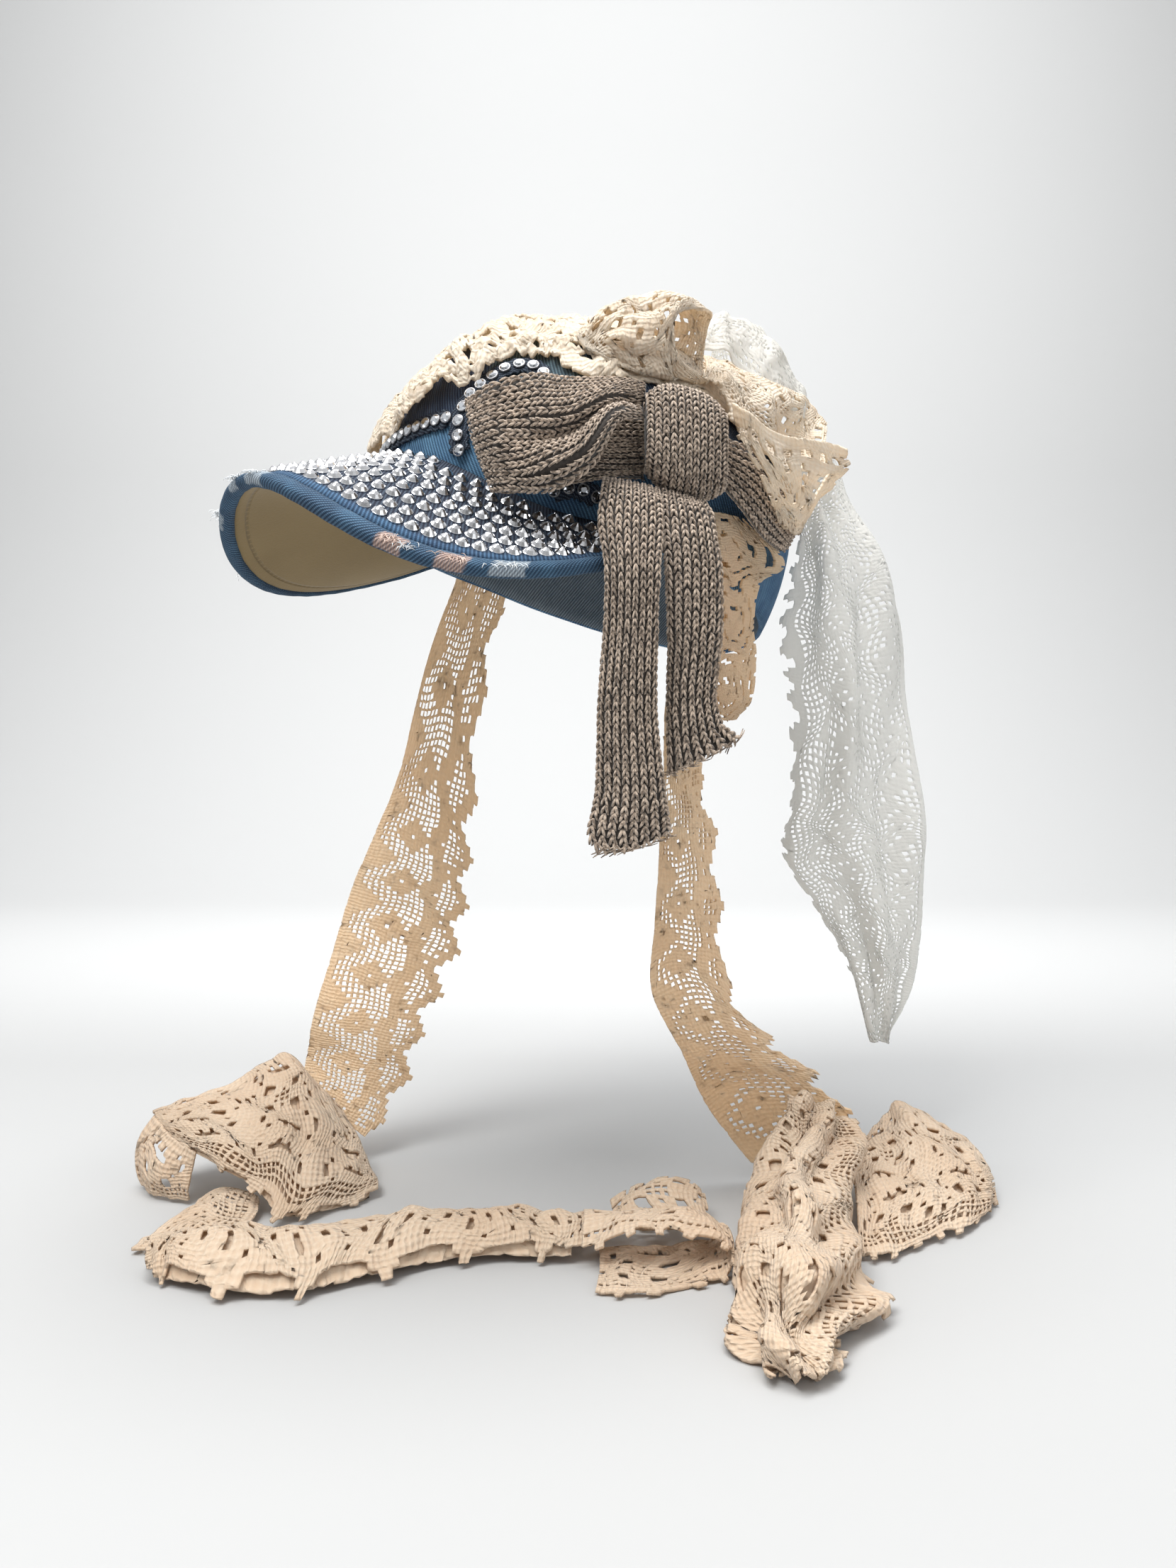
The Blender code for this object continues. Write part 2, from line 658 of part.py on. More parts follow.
def build_studs():
    """The field of cone studs, each a cone whose foot meets its neighbours' on one backing."""
    tips, ground = stud_sites()
    flat = [Vector((p[0], p[1])) for p in tips + ground]
    places, _, triangles, *_ = delaunay_2d_cdt(flat, [], [], 0, 1e-5)
    longest = 1.75 * STUD_PITCH
    kept = []
    for face in triangles:
        corners = [places[i] for i in face]
        if max((corners[k] - corners[k - 1]).length for k in range(3)) < longest:
            kept.append(tuple(face))
    kept = drop_loose_corners(kept)
    is_tip = {i for i, p in enumerate(places) if min((p - t).length for t in flat[: len(tips)]) < 0.01}

    vertices, index = [], {}

    def vertex(key, flat_place, rise):
        if key not in index:
            index[key] = len(vertices)
            vertices.append(above_peak(*flat_place, rise))
        return index[key]

    rest = 2 * GAP / MM
    ground_level = rest + STUD_BACKING
    faces, edges = [], {}
    for face in kept:
        halves = []
        for k in range(3):
            one, two = face[k], face[(k + 1) % 3]
            pair = (min(one, two), max(one, two))
            edges.setdefault(pair, []).append((one, two))
            halves.append(vertex(pair, (places[one] + places[two]) / 2, ground_level))
        for k in range(3):
            tall = STUD_TALL if face[k] in is_tip else STUD_BACKING
            corner = vertex(face[k], places[face[k]], rest + tall)
            faces.append((corner, halves[k], halves[k - 1]))
        faces.append(tuple(halves))
        faces.append(tuple(vertex(("under", i), places[i], rest) for i in reversed(face)))
    for pair, uses in edges.items():
        if len(uses) == 1:
            one, two = uses[0]
            faces.append(
                (index[one], index["under", one], index["under", two], index[two], index[pair])
            )
    obj = mesh_object("peak_studs", vertices, faces, SILVER)
    face_out(obj)


def drop_loose_corners(triangles):
    """Leave out triangles that hang on by fewer than two of their edges."""
    while True:
        uses = {}
        for face in triangles:
            for k in range(3):
                pair = frozenset((face[k], face[k - 1]))
                uses[pair] = uses.get(pair, 0) + 1
        kept = [
            face
            for face in triangles
            if sum(uses[frozenset((face[k], face[k - 1]))] == 2 for k in range(3)) >= 2
        ]
        if len(kept) == len(triangles):
            return kept
        triangles = kept


def cut_stone(centre, out, along):
    """One faceted stone: an eight sided crown with a flat table on a plain foot."""
    side = np.cross(out, along)
    vertices = []
    for radius, rise in ((1.0, 0.0), (0.55, 1.0)):
        for k in range(8):
            turn = 2 * pi * (k + 0.5) / 8
            spoke = along * cos(turn) + side * sin(turn)
            lift = out * rise * STONE_TALL * MM
            vertices.append(centre + spoke * radius * STONE_RADIUS * MM + lift)
    faces = [tuple(reversed(range(8))), tuple(8 + k for k in range(8))]
    for k in range(8):
        after = (k + 1) % 8
        faces.append((k, after, 8 + after, 8 + k))
    return vertices, faces


def build_chain(name, ends):
    """A string of set stones following the crown, fused by the strip that carries them."""
    fine = [
        (radians(a), h) for a, h in (smooth_between(ends, t) for t in np.linspace(0, 1, 121))
    ]
    line = np.array([crown_point(a, h) for a, h in fine])
    run = np.concatenate([[0], np.cumsum(np.linalg.norm(np.diff(line, axis=0), axis=1))])
    count = max(int(run[-1] / (STONE_PITCH * MM)), 1)
    pitch = run[-1] / count
    stations = []
    for k in range(count + 1):
        at = k * pitch
        angle = np.interp(at, run, [a for a, _ in fine])
        height = np.interp(at, run, [h for _, h in fine])
        foot = crown_point(angle, height, GAP / MM)
        out = crown_point(angle, height, 1.0) - crown_point(angle, height, 0.0)
        stations.append((foot, out / np.linalg.norm(out)))
    vertices, faces, strip = [], [], []
    for k, (foot, out) in enumerate(stations):
        before, after = stations[max(k - 1, 0)][0], stations[min(k + 1, count)][0]
        along = after - before
        along = along - out * along.dot(out)
        along = along / np.linalg.norm(along)
        side = np.cross(out, along)
        stone, stone_faces = cut_stone(foot, out, along)
        start = len(vertices)
        vertices += stone
        faces += [tuple(start + i for i in face) for face in stone_faces]
        half, tall = 1.1 * MM, 0.9 * MM
        reach = along * 1.5 * MM * ((k == count) - (k == 0))
        strip.append([foot + reach + side * x + out * y for x, y in (
            (-half, 0.1 * MM), (half, 0.1 * MM), (half, tall), (-half, tall))])
    obj = mesh_object(name, vertices, faces, SILVER)
    face_out(obj)
    carrier_faces = [(0, 1, 2, 3), tuple(4 * count + i for i in (3, 2, 1, 0))]
    for k in range(count):
        for i in range(4):
            a, b = 4 * k + i, 4 * k + (i + 1) % 4
            carrier_faces.append((a, a + 4, b + 4, b))
    carrier = mesh_object(name + "_carrier", sum(strip, []), carrier_faces, SILVER)
    face_out(carrier)
    join = obj.modifiers.new("Join", "BOOLEAN")
    join.operation = "UNION"
    join.object = carrier
    PARTS.objects.unlink(carrier)
    CUTTERS.objects.link(carrier)
    carrier.hide_render = True
    carrier.display_type = "WIRE"


def border_height(angle):
    """Height of the lace's border over the crown, by the angle in radians."""
    degrees = angle * 180 / pi
    return float(np.interp(degrees, [r.angle for r in LACE_BORDER], [r.height for r in LACE_BORDER]))


def border_ruffle(angle):
    """How far the lace's border stands off the crown, by the angle in radians."""
    degrees = angle * 180 / pi
    return float(np.interp(degrees, [r.angle for r in LACE_BORDER], [r.ruffle for r in LACE_BORDER]))


def build_crown_lace():
    """The crochet lace laid over the crown, ruffled along its front border."""
    around, rings = 30, 5
    places = []
    for j in range(rings):
        for i in range(around):
            angle = 2 * pi * i / around - pi
            low = border_height(angle)
            tall = CROWN_HEIGHT if low > 0 else CROWN_TUCK
            start = np.arcsin(low / tall)
            bend = start + (pi / 2 - start) * (j / rings) ** 1.1
            loose = (1 - j / rings) ** 1.5
            lift = 2.5 + loose * border_ruffle(angle) * (1.2 + sin(9 * angle))
            tall = CROWN_HEIGHT if bend > 0 else CROWN_TUCK
            places.append(crown_point(angle, tall * sin(bend), lift))
    places.append(crown_point(0.0, CROWN_HEIGHT - 1e-4, 2.5))
    faces = []
    for j in range(rings - 1):
        for i in range(around):
            a, b = j * around + i, j * around + (i + 1) % around
            faces.append((a, b, b + around, a + around))
    top, ring = len(places) - 1, (rings - 1) * around
    for i in range(around):
        faces.append((ring + i, ring + (i + 1) % around, top))
    thicken(mesh_object("lace_crown", places, faces, LACE), CLOTH)


def build_rosette():
    """The bunched lace on top: a gathered bag whose mouth opens to the back."""
    around, along = 12, 7
    places = []
    centres = np.array([ring[:3] for ring in ROSETTE], float)
    for j in range(along + 1):
        v = j / along
        ring = smooth_between(ROSETTE, v)
        tangent = smooth_between(centres, min(v + 0.02, 1)) - smooth_between(centres, max(v - 0.02, 0))
        tangent = tangent / np.linalg.norm(tangent)
        side = np.cross(tangent, (0.0, 0.0, 1.0))
        side = side / np.linalg.norm(side)
        rise = np.cross(side, tangent)
        for i in range(around):
            turn = 2 * pi * i / around
            gather = 1 + 0.07 * sin(7 * turn + 2 * v)
            spoke = side * cos(turn) * 0.8 + rise * sin(turn)
            place = from_side_frame(ring[:3] + spoke * ring[3] * gather)
            places.append(lifted(place, 6.0))
    faces = []
    for j in range(along):
        for i in range(around):
            a, b = j * around + i, j * around + (i + 1) % around
            faces.append((a, b, b + around, a + around))
    faces.append(tuple(reversed(range(around))))
    obj = mesh_object("lace_rosette", places, faces, LACE)
    thicken(obj, CLOTH, -1.0)


def build_knot():
    """The wound knot at the middle of the bow, a tight barrel of knitting."""
    around, along = 12, 7
    centre = np.array([36.5, 91.0, 8.0])
    half_wide, half_deep, half_tall = 16.6, 12.0, 22.0
    places = []
    for j in range(along + 1):
        v = 2 * j / along - 1
        waist = (1 - abs(v) ** 3) * 0.35 + 0.65
        for i in range(around):
            turn = 2 * pi * i / around
            squared = lambda c: abs(c) ** 0.7 * (1 if c > 0 else -1)
            across = half_wide * v
            near = half_deep * squared(cos(turn)) * waist - 0.42 * across
            up = half_tall * squared(sin(turn)) * waist - 0.12 * across
            places.append(lifted(from_side_frame(centre + (across, near, up)), 4.3))
    faces = []
    for j in range(along):
        for i in range(around):
            a, b = j * around + i, j * around + (i + 1) % around
            faces.append((a, b, b + around, a + around))
    faces.append(tuple(range(around)))
    faces.append(tuple(along * around + i for i in range(around)))
    obj = mesh_object("bow_knot", places, faces, KNITTING)
    face_out(obj)


def build_bow():
    """The knitted bow at the wearer's left temple."""
    build_knot()
    band("bow_loop_front", LOOP_FRONT, (4, 17), KNIT, KNITTING, least_lift=5.8)
    band("bow_loop_back", LOOP_BACK, (3, 14), KNIT, KNITTING, least_lift=7.4)
    band("bow_tail_long", TAIL_LONG, (4, 11), KNIT, KNITTING)
    band("bow_tail_short", TAIL_SHORT, (3, 10), KNIT, KNITTING)


def build_cap():
    """Crown, peak, edging, studs and stones."""
    build_crown()
    build_peak_layer("peak_board", 0.0, BOARD_THICK, (3, 22), DENIM_DARK)
    build_peak_layer("peak_lining", BOARD_THICK + 0.4, LINING_THICK, (3, 22), FELT)
    build_binding()
    build_studs()
    for name, ends in CHAINS.items():
        build_chain(name, ends)


def build_lace():
    """The crochet lace on the cap and the two ties that hang to the surface."""
    build_crown_lace()
    build_rosette()
    band("lace_drape_top", DRAPE_TOP, (5, 8), CLOTH, LACE, Ripple(1.5, 2, 0), 5.4)
    band("lace_drape_front", DRAPE_FRONT, (5, 8), CLOTH, LACE, Ripple(1.0, 1, 1), 5.0)
    band("lace_ear", LACE_EAR, (5, 8), CLOTH, LACE, least_lift=3.5,
         holes=eyelets(5, 8, 3, 2))
    wave = Ripple(2.0, 3, 0)
    band("tie_far", TIE_FAR, (5, 19), CLOTH, LACE, wave, 1.0, eyelets(5, 19, 3, 2))
    band("tie_near", TIE_NEAR, (5, 19), CLOTH, LACE, wave, 1.3, eyelets(5, 19, 3, 2))


def build_heaps():
    """The ends of the ties, lying folded on the surface below."""
    fold = Ripple(1.5, 2, 1)
    band("heap_far_panel", HEAP_FAR_PANEL, (6, 10), CLOTH, LACE, fold, holes=eyelets(6, 10, 3, 3))
    band("heap_far_roll", HEAP_FAR_ROLL, (3, 5), CLOTH, LACE)
    band("heap_far_fold", HEAP_FAR_FOLD, (3, 6), CLOTH, LACE)
    band("floor_strip", FLOOR_STRIP, (4, 18), CLOTH, LACE)
    band("floor_strip_loop", STRIP_LOOP, (4, 12), CLOTH, LACE)
    band("floor_strip_flap", STRIP_FLAP, (3, 5), CLOTH, LACE)
    band("heap_near_fan", HEAP_NEAR_FAN, (5, 8), CLOTH, LACE, fold, holes=eyelets(5, 8, 3, 3))
    band("heap_near_front", HEAP_NEAR_FRONT, (6, 11), CLOTH, LACE, Ripple(2.0, 3, 1))


def build_white_lace():
    """The white lace behind the rosette and its long hanging tail."""
    band("white_lace_puff", PUFF, (5, 7), LACE_WHITE, WHITE, Ripple(1.5, 2, 0), 5.2)
    band("white_lace_tail", TAIL_WHITE, (5, 15), LACE_WHITE, WHITE, Ripple(2.0, 2, 1), 5.6)


clear_scene()
PARTS = bpy.data.collections.new("dressed_denim_cap")
CUTTERS = bpy.data.collections.new("cutters")
bpy.context.scene.collection.children.link(PARTS)
bpy.context.scene.collection.children.link(CUTTERS)

DENIM = material("denim", (0.035, 0.10, 0.25), 0.85)
DENIM_DARK = material("denim_dark", (0.012, 0.03, 0.09), 0.85)
BINDING = material("denim_edging", (0.03, 0.11, 0.24), 0.85)
FELT = material("tan_felt", (0.30, 0.22, 0.10), 0.95)
SILVER = material("silver_stud", (0.75, 0.76, 0.78), 0.15, 1.0)
KNITTING = material("taupe_knitting", (0.24, 0.19, 0.15), 0.9)
LACE = material("ecru_crochet", (0.85, 0.66, 0.44), 0.9)
WHITE = material("white_lace", (0.85, 0.85, 0.83), 0.8)

build_cap()
build_bow()
build_lace()
build_heaps()
build_white_lace()
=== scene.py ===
# %% [markdown]
# # A denim peaked cap with studs, a knitted bow and lace ties
#
# The solids of the cap come in first, as a fixed frame. Each one is then dressed: the denim gets
# its twill, the peak its silver cones, the bow its stitches and the lace its holes. Sizes are in
# millimetres in the tables, and become metres when a mesh is made.

# %% Load the frame
from collections import namedtuple
from math import cos, pi, radians, sin, tan

import bmesh
import bpy
import numpy as np
from mathutils import Matrix, Vector


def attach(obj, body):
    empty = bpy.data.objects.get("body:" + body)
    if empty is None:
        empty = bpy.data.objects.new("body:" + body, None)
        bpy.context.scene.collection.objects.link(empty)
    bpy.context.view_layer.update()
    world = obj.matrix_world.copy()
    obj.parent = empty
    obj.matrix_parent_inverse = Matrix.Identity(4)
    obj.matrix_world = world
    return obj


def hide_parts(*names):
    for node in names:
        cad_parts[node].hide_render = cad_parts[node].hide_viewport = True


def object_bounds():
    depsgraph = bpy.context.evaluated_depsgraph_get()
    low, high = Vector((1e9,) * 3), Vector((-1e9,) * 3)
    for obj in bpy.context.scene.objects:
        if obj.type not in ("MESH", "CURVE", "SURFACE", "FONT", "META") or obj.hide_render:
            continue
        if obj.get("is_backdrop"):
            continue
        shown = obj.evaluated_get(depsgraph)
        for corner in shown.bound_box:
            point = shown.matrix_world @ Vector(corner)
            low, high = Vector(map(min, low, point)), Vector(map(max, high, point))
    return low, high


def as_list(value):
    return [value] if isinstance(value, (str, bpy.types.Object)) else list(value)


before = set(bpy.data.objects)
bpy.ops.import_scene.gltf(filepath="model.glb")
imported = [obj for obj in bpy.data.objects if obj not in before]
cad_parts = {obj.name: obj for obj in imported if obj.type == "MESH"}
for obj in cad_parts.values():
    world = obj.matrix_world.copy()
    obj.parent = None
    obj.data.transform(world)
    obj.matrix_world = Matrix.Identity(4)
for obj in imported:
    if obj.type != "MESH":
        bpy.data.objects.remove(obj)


def corners(box):
    """A box's two corners to the millimetre, for printing."""
    return [[round(float(c), 3) for c in corner] for corner in box]


cad_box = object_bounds()
print("solids", len(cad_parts), "box", corners(cad_box))

# %% [markdown]
# ## Where things are
#
# Cloth that hangs is easiest to describe as the camera sees it: how far across, how near and how
# far up. A rotation about the upright axis turns those three numbers into the cap's own axes. The
# cap itself is described upright, forward, left and up, and then tipped as it is when worn.

# %% The two sets of axes
MM = 0.001
SIDE_VIEW = radians(42.0)
CAP_PITCH = radians(6.0)
CAP_ROLL = radians(-5.0)
FLOOR = -300.0

ACROSS = np.array([sin(SIDE_VIEW), cos(SIDE_VIEW), 0.0])
NEAR = np.array([cos(SIDE_VIEW), -sin(SIDE_VIEW), 0.0])
SIDE_FRAME = np.array([ACROSS, NEAR, (0.0, 0.0, 1.0)])


def from_side_frame(points):
    """Across, near and up in millimetres, one point a row, as places in metres."""
    return (np.asarray(points, float) @ SIDE_FRAME) * MM


def from_cap(points):
    """Forward, left and up on the upright cap, as places in metres on the tipped cap."""
    forward, left, up = np.asarray(points, float).T
    rolled_left = left * cos(CAP_ROLL) - up * sin(CAP_ROLL)
    rolled_up = left * sin(CAP_ROLL) + up * cos(CAP_ROLL)
    tipped_forward = forward * cos(CAP_PITCH) - rolled_up * sin(CAP_PITCH)
    tipped_up = forward * sin(CAP_PITCH) + rolled_up * cos(CAP_PITCH)
    return np.stack([rolled_left, -tipped_forward, tipped_up], axis=1) * MM


CAP_TURN = from_cap(np.eye(3)) / MM


def to_cap(places):
    """The reverse of from_cap."""
    return (np.asarray(places) / MM) @ CAP_TURN.T


print("the camera looks", [round(float(-c), 3) for c in NEAR])

# %% [markdown]
# ## The camera, the floor and the light
#
# A product picture like this one is taken from a little over half a metre, level with the middle
# of the object. The floor runs up into the backdrop in one smooth sweep, so no edge shows. Soft
# light comes from large lamps. Polished metal shows only what stands round it, so the world is
# bright above, dim at the sides and dark below, which gives the cones their black and white
# facets. The camera itself sees a plain pale backdrop.

# %% Camera
CAMERA_LENS, CAMERA_SENSOR = 26.04, 36.0
CAMERA_PLACE = (-2.1, 517.6, -120.5)
camera_data = bpy.data.cameras.new("camera")
camera_data.lens = CAMERA_LENS
camera_data.sensor_width = CAMERA_SENSOR
camera = bpy.data.objects.new("camera", camera_data)
bpy.context.scene.collection.objects.link(camera)
eye = from_side_frame([CAMERA_PLACE])[0]
turn = Matrix([ACROSS, (0.0, 0.0, 1.0), NEAR]).transposed().to_4x4()
camera.matrix_world = Matrix.Translation(Vector(eye)) @ turn
bpy.context.scene.camera = camera
bpy.context.scene.view_settings.view_transform = "Standard"
bpy.context.scene.view_settings.look = "None"
print("camera at", [round(float(c), 3) for c in eye])

# %% [markdown]
# ## Small tools for meshes
#
# Every piece here starts as a list of places and a list of faces, because cloth is easier to
# work out than to push about by hand. A piece may carry a flat map of its cloth, which the
# finishes read, and a sheet gets its thickness from Solidify. The modifier is then made real, so
# a finished piece is a plain mesh.

# %% Places and faces to objects


def add_object(name, vertices, faces, finish):
    """A smooth shaded object from places and faces."""
    mesh = bpy.data.meshes.new(name)
    mesh.from_pydata([tuple(v) for v in vertices], [], [tuple(f) for f in faces])
    mesh.update()
    mesh.shade_smooth()
    mesh.materials.append(finish)
    obj = bpy.data.objects.new(name, mesh)
    bpy.context.scene.collection.objects.link(obj)
    return obj


def put_map(obj, per_vertex):
    """Store a flat position for every vertex as the piece's UV map."""
    mesh = obj.data
    layer = mesh.uv_layers.new(name="cloth_map")
    corner = np.empty(len(mesh.loops), dtype=np.int32)
    mesh.loops.foreach_get("vertex_index", corner)
    layer.data.foreach_set("uv", np.asarray(per_vertex, np.float32)[corner].ravel())


def bake(obj):
    """Turn an object and its modifiers into a plain mesh."""
    depsgraph = bpy.context.evaluated_depsgraph_get()
    mesh = bpy.data.meshes.new_from_object(obj.evaluated_get(depsgraph))
    old = obj.data
    obj.modifiers.clear()
    obj.data = mesh
    bpy.data.meshes.remove(old)
    return obj


def thicken(obj, thickness, offset=0.0):
    """Give an open surface a cloth's thickness."""
    wall = obj.modifiers.new("Wall", "SOLIDIFY")
    wall.thickness = thickness * MM
    wall.offset = offset
    wall.material_offset = len(obj.data.materials) - 1
    wall.use_even_offset = False
    return bake(obj)


def grid_faces(across, along, closed=False):
    """Faces of a grid, across by along cells; closed joins its last column to its first."""
    columns = across if closed else across + 1
    faces = []
    for j in range(along):
        for i in range(across):
            a, b = j * columns + i, j * columns + (i + 1) % columns
            faces.append((a, b, b + columns, a + columns))
    return faces


def crossings(across, along):
    """Every pair from two lists of numbers, the first list running fastest."""
    return np.tile(across, len(along)), np.repeat(along, len(across))


def unit(vectors):
    """The same directions, one vector a row, each of them one long."""
    return vectors / np.maximum(np.linalg.norm(vectors, axis=1), 1e-12)[:, None]


def face_out(obj):
    """Turn a closed mesh's faces to point out."""
    shape = bmesh.new()
    shape.from_mesh(obj.data)
    bmesh.ops.recalc_face_normals(shape, faces=shape.faces)
    shape.to_mesh(obj.data)
    shape.free()


def triangles(obj):
    """How many triangles a mesh comes to."""
    return sum(len(face.vertices) - 2 for face in obj.data.polygons)


print("a grid of 3 by 2 cells has", len(grid_faces(3, 2)), "faces")

# %% [markdown]
# ## Finishes
#
# A finish is a small tree of shader nodes. Writing each Math node by hand soon hides what the
# tree does, so a socket is wrapped in a class whose operators add the nodes: `1 - mask * 0.5`
# then reads as it is. One method adds any other node from its type, settings and inputs.

# %% A value with operators


class Value:
    """A number that varies over a surface, for use in Python expressions."""

    def __init__(self, finish, socket):
        self.finish = finish
        self.socket = socket

    def math(self, operation, other=None, swapped=False):
        """A Math node on this value and another."""
        node = self.finish.tree.nodes.new("ShaderNodeMath")
        node.operation = operation
        pair = (other, self) if swapped else (self, other)
        for socket, source in zip(node.inputs, pair):
            if isinstance(source, Value):
                self.finish.tree.links.new(source.socket, socket)
            elif source is not None:
                socket.default_value = source
        return Value(self.finish, node.outputs[0])

    def __add__(self, other):
        return self.math("ADD", other)

    def __radd__(self, other):
        return self.math("ADD", other, swapped=True)

    def __sub__(self, other):
        return self.math("SUBTRACT", other)

    def __rsub__(self, other):
        return self.math("SUBTRACT", other, swapped=True)

    def __mul__(self, other):
        return self.math("MULTIPLY", other)

    def __rmul__(self, other):
        return self.math("MULTIPLY", other, swapped=True)

    def sine(self):
        return self.math("SINE")

    def fraction(self):
        return self.math("FRACT")

    def size(self):
        return self.math("ABSOLUTE")

    def above(self, other):
        return self.math("GREATER_THAN", other)

    def smooth(self, low, high):
        """0 at low, 1 at high, eased between."""
        settings = {"interpolation_type": "SMOOTHSTEP"}
        return self.finish.node(
            "ShaderNodeMapRange", settings, {"Value": self, "From Min": low, "From Max": high}
        )


print("values know", ", ".join(name for name in vars(Value) if not name.startswith("_")))

# %% [markdown]
# A finish owns the tree and the shader at its end. Patterns that run with the thread read the
# piece's flat map, and stains and wear read the place on the piece. Thin cloth also lets light
# through, which is a second shader mixed in by a fixed share.

# %% A finish


class Finish:
    """A material and the nodes that make it."""

    def __init__(self, name):
        self.material = bpy.data.materials.new(name)
        self.material.use_nodes = True
        self.tree = self.material.node_tree
        self.shader = self.tree.nodes["Principled BSDF"]

    def node(self, kind, settings=None, inputs=None, output=0):
        """Any node, from its type, settings and inputs; returns one of its outputs."""
        node = self.tree.nodes.new(kind)
        for key, setting in (settings or {}).items():
            setattr(node, key, setting)
        for key, source in (inputs or {}).items():
            socket = node.inputs[key]
            if isinstance(source, Value):
                self.tree.links.new(source.socket, socket)
            else:
                socket.default_value = source
        return Value(self, node.outputs[output])

    def place(self):
        """The object's own coordinates, in metres."""
        return self.node("ShaderNodeTexCoord", output="Object")

    def cloth_map(self):
        """The two flat coordinates stored on the piece."""
        place = self.node("ShaderNodeUVMap", {"uv_map": "cloth_map"})
        split = self.tree.nodes.new("ShaderNodeSeparateXYZ")
        self.tree.links.new(place.socket, split.inputs[0])
        return Value(self, split.outputs[0]), Value(self, split.outputs[1])

    def noise(self, scale, detail=2.0):
        """Soft random patches, from 0 to 1."""
        inputs = {"Vector": self.place(), "Scale": scale, "Detail": detail}
        return self.node("ShaderNodeTexNoise", None, inputs)

    def blend(self, factor, low, high):
        """One colour where factor is 0 and another where it is 1."""
        node = self.tree.nodes.new("ShaderNodeMix")
        node.data_type = "RGBA"
        for key, source in ((0, factor), (6, low), (7, high)):
            if isinstance(source, Value):
                self.tree.links.new(source.socket, node.inputs[key])
            else:
                node.inputs[key].default_value = (*source, 1.0) if key else source
        return Value(self, node.outputs[2])

    def set(self, **inputs):
        """Set the shader's own sockets; underscores stand for spaces."""
        for key, source in inputs.items():
            socket = self.shader.inputs[key.replace("_", " ")]
            if isinstance(source, Value):
                self.tree.links.new(source.socket, socket)
            else:
                socket.default_value = (*source, 1.0) if isinstance(source, tuple) else source
        return self

    def bump(self, height, distance, strength=1.0):
        """Relief from a height, in metres."""
        inputs = {"Height": height, "Distance": distance, "Strength": strength}
        return self.set(Normal=self.node("ShaderNodeBump", None, inputs))

    def glow_through(self, colour, share):
        """Let light through thin cloth."""
        thin = self.node("ShaderNodeBsdfTranslucent", None, {"Color": (*colour, 1.0)})
        both = self.tree.nodes.new("ShaderNodeMixShader")
        both.inputs[0].default_value = share
        self.tree.links.new(self.shader.outputs[0], both.inputs[1])
        self.tree.links.new(thin.socket, both.inputs[2])
        self.tree.links.new(both.outputs[0], self.tree.nodes["Material Output"].inputs[0])
        return self


# %% [markdown]
# ### Backdrop and lamps
#
# The floor and the wall are one strip of pale paper, bent with a wide radius behind the cap. A
# large key lamp stands in front on the left, a second hangs above and a weak one fills the right.
# The widest lamp lights the paper alone, so that the wall stays as bright as the floor.

# %% The backdrop and the lamps
SWEEP_FRONT, SWEEP_FOOT, SWEEP_BEND, SWEEP_TOP, SWEEP_SIDE = 1600, 1200, 900, 3200, 4000
backdrop = Finish("pale_backdrop").set(Base_Color=(0.47, 0.475, 0.475), Roughness=0.75)
sweep_profile = [(-SWEEP_FRONT, 0.0), (SWEEP_FOOT, 0.0)]
for bend in np.linspace(0.1, pi / 2, 12):
    sweep_profile.append((SWEEP_FOOT + SWEEP_BEND * sin(bend), SWEEP_BEND * (1 - cos(bend))))
sweep_profile.append((SWEEP_FOOT + SWEEP_BEND, SWEEP_TOP))
sweep_places = []
for side in (-SWEEP_SIDE, SWEEP_SIDE):
    for back, rise in sweep_profile:
        sweep_places.append((side, -back, FLOOR + rise))
steps = len(sweep_profile)
sweep_faces = [(i, i + 1, steps + i + 1, steps + i) for i in range(steps - 1)]
sweep = add_object("backdrop", from_side_frame(sweep_places), sweep_faces, backdrop.material)
sweep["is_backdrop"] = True


def lamp_at(place):
    """A place in the side frame, as a vector in metres."""
    return Vector(from_side_frame([place])[0])


def lamp(name, place, target, size, power, colour=(1.0, 1.0, 1.0)):
    """A large soft lamp that looks at a target; size in metres, power in watts."""
    data = bpy.data.lights.new(name, "AREA")
    data.shape = "DISK"
    data.size = size
    data.energy = power
    data.color = colour
    obj = bpy.data.objects.new(name, data)
    bpy.context.scene.collection.objects.link(obj)
    where = lamp_at(place)
    aim = lamp_at(target) - where
    obj.matrix_world = Matrix.Translation(where) @ aim.to_track_quat("-Z", "Y").to_matrix().to_4x4()


CAP_MIDDLE = (0.0, 0.0, -60.0)
WARM, COOL = (1.0, 0.99, 0.97), (0.97, 0.985, 1.0)
lamp("key_lamp", (-600, 760, 1200), CAP_MIDDLE, size=0.8, power=17.5, colour=WARM)
lamp("top_lamp", (0, 120, 1150), CAP_MIDDLE, size=0.9, power=16.0)
lamp("fill_lamp", (900, 650, 150), CAP_MIDDLE, size=0.8, power=2.0, colour=COOL)
lamp("wall_lamp", (0, -950, 1400), (0, -2100, 900), size=3.0, power=47.0)
print("backdrop of", len(sweep_faces), "strips, four lamps")

# %% [markdown]
# The world lights the shadows and is what the metal mirrors. A ramp runs from dark straight
# below, by a dim horizon, to bright overhead.

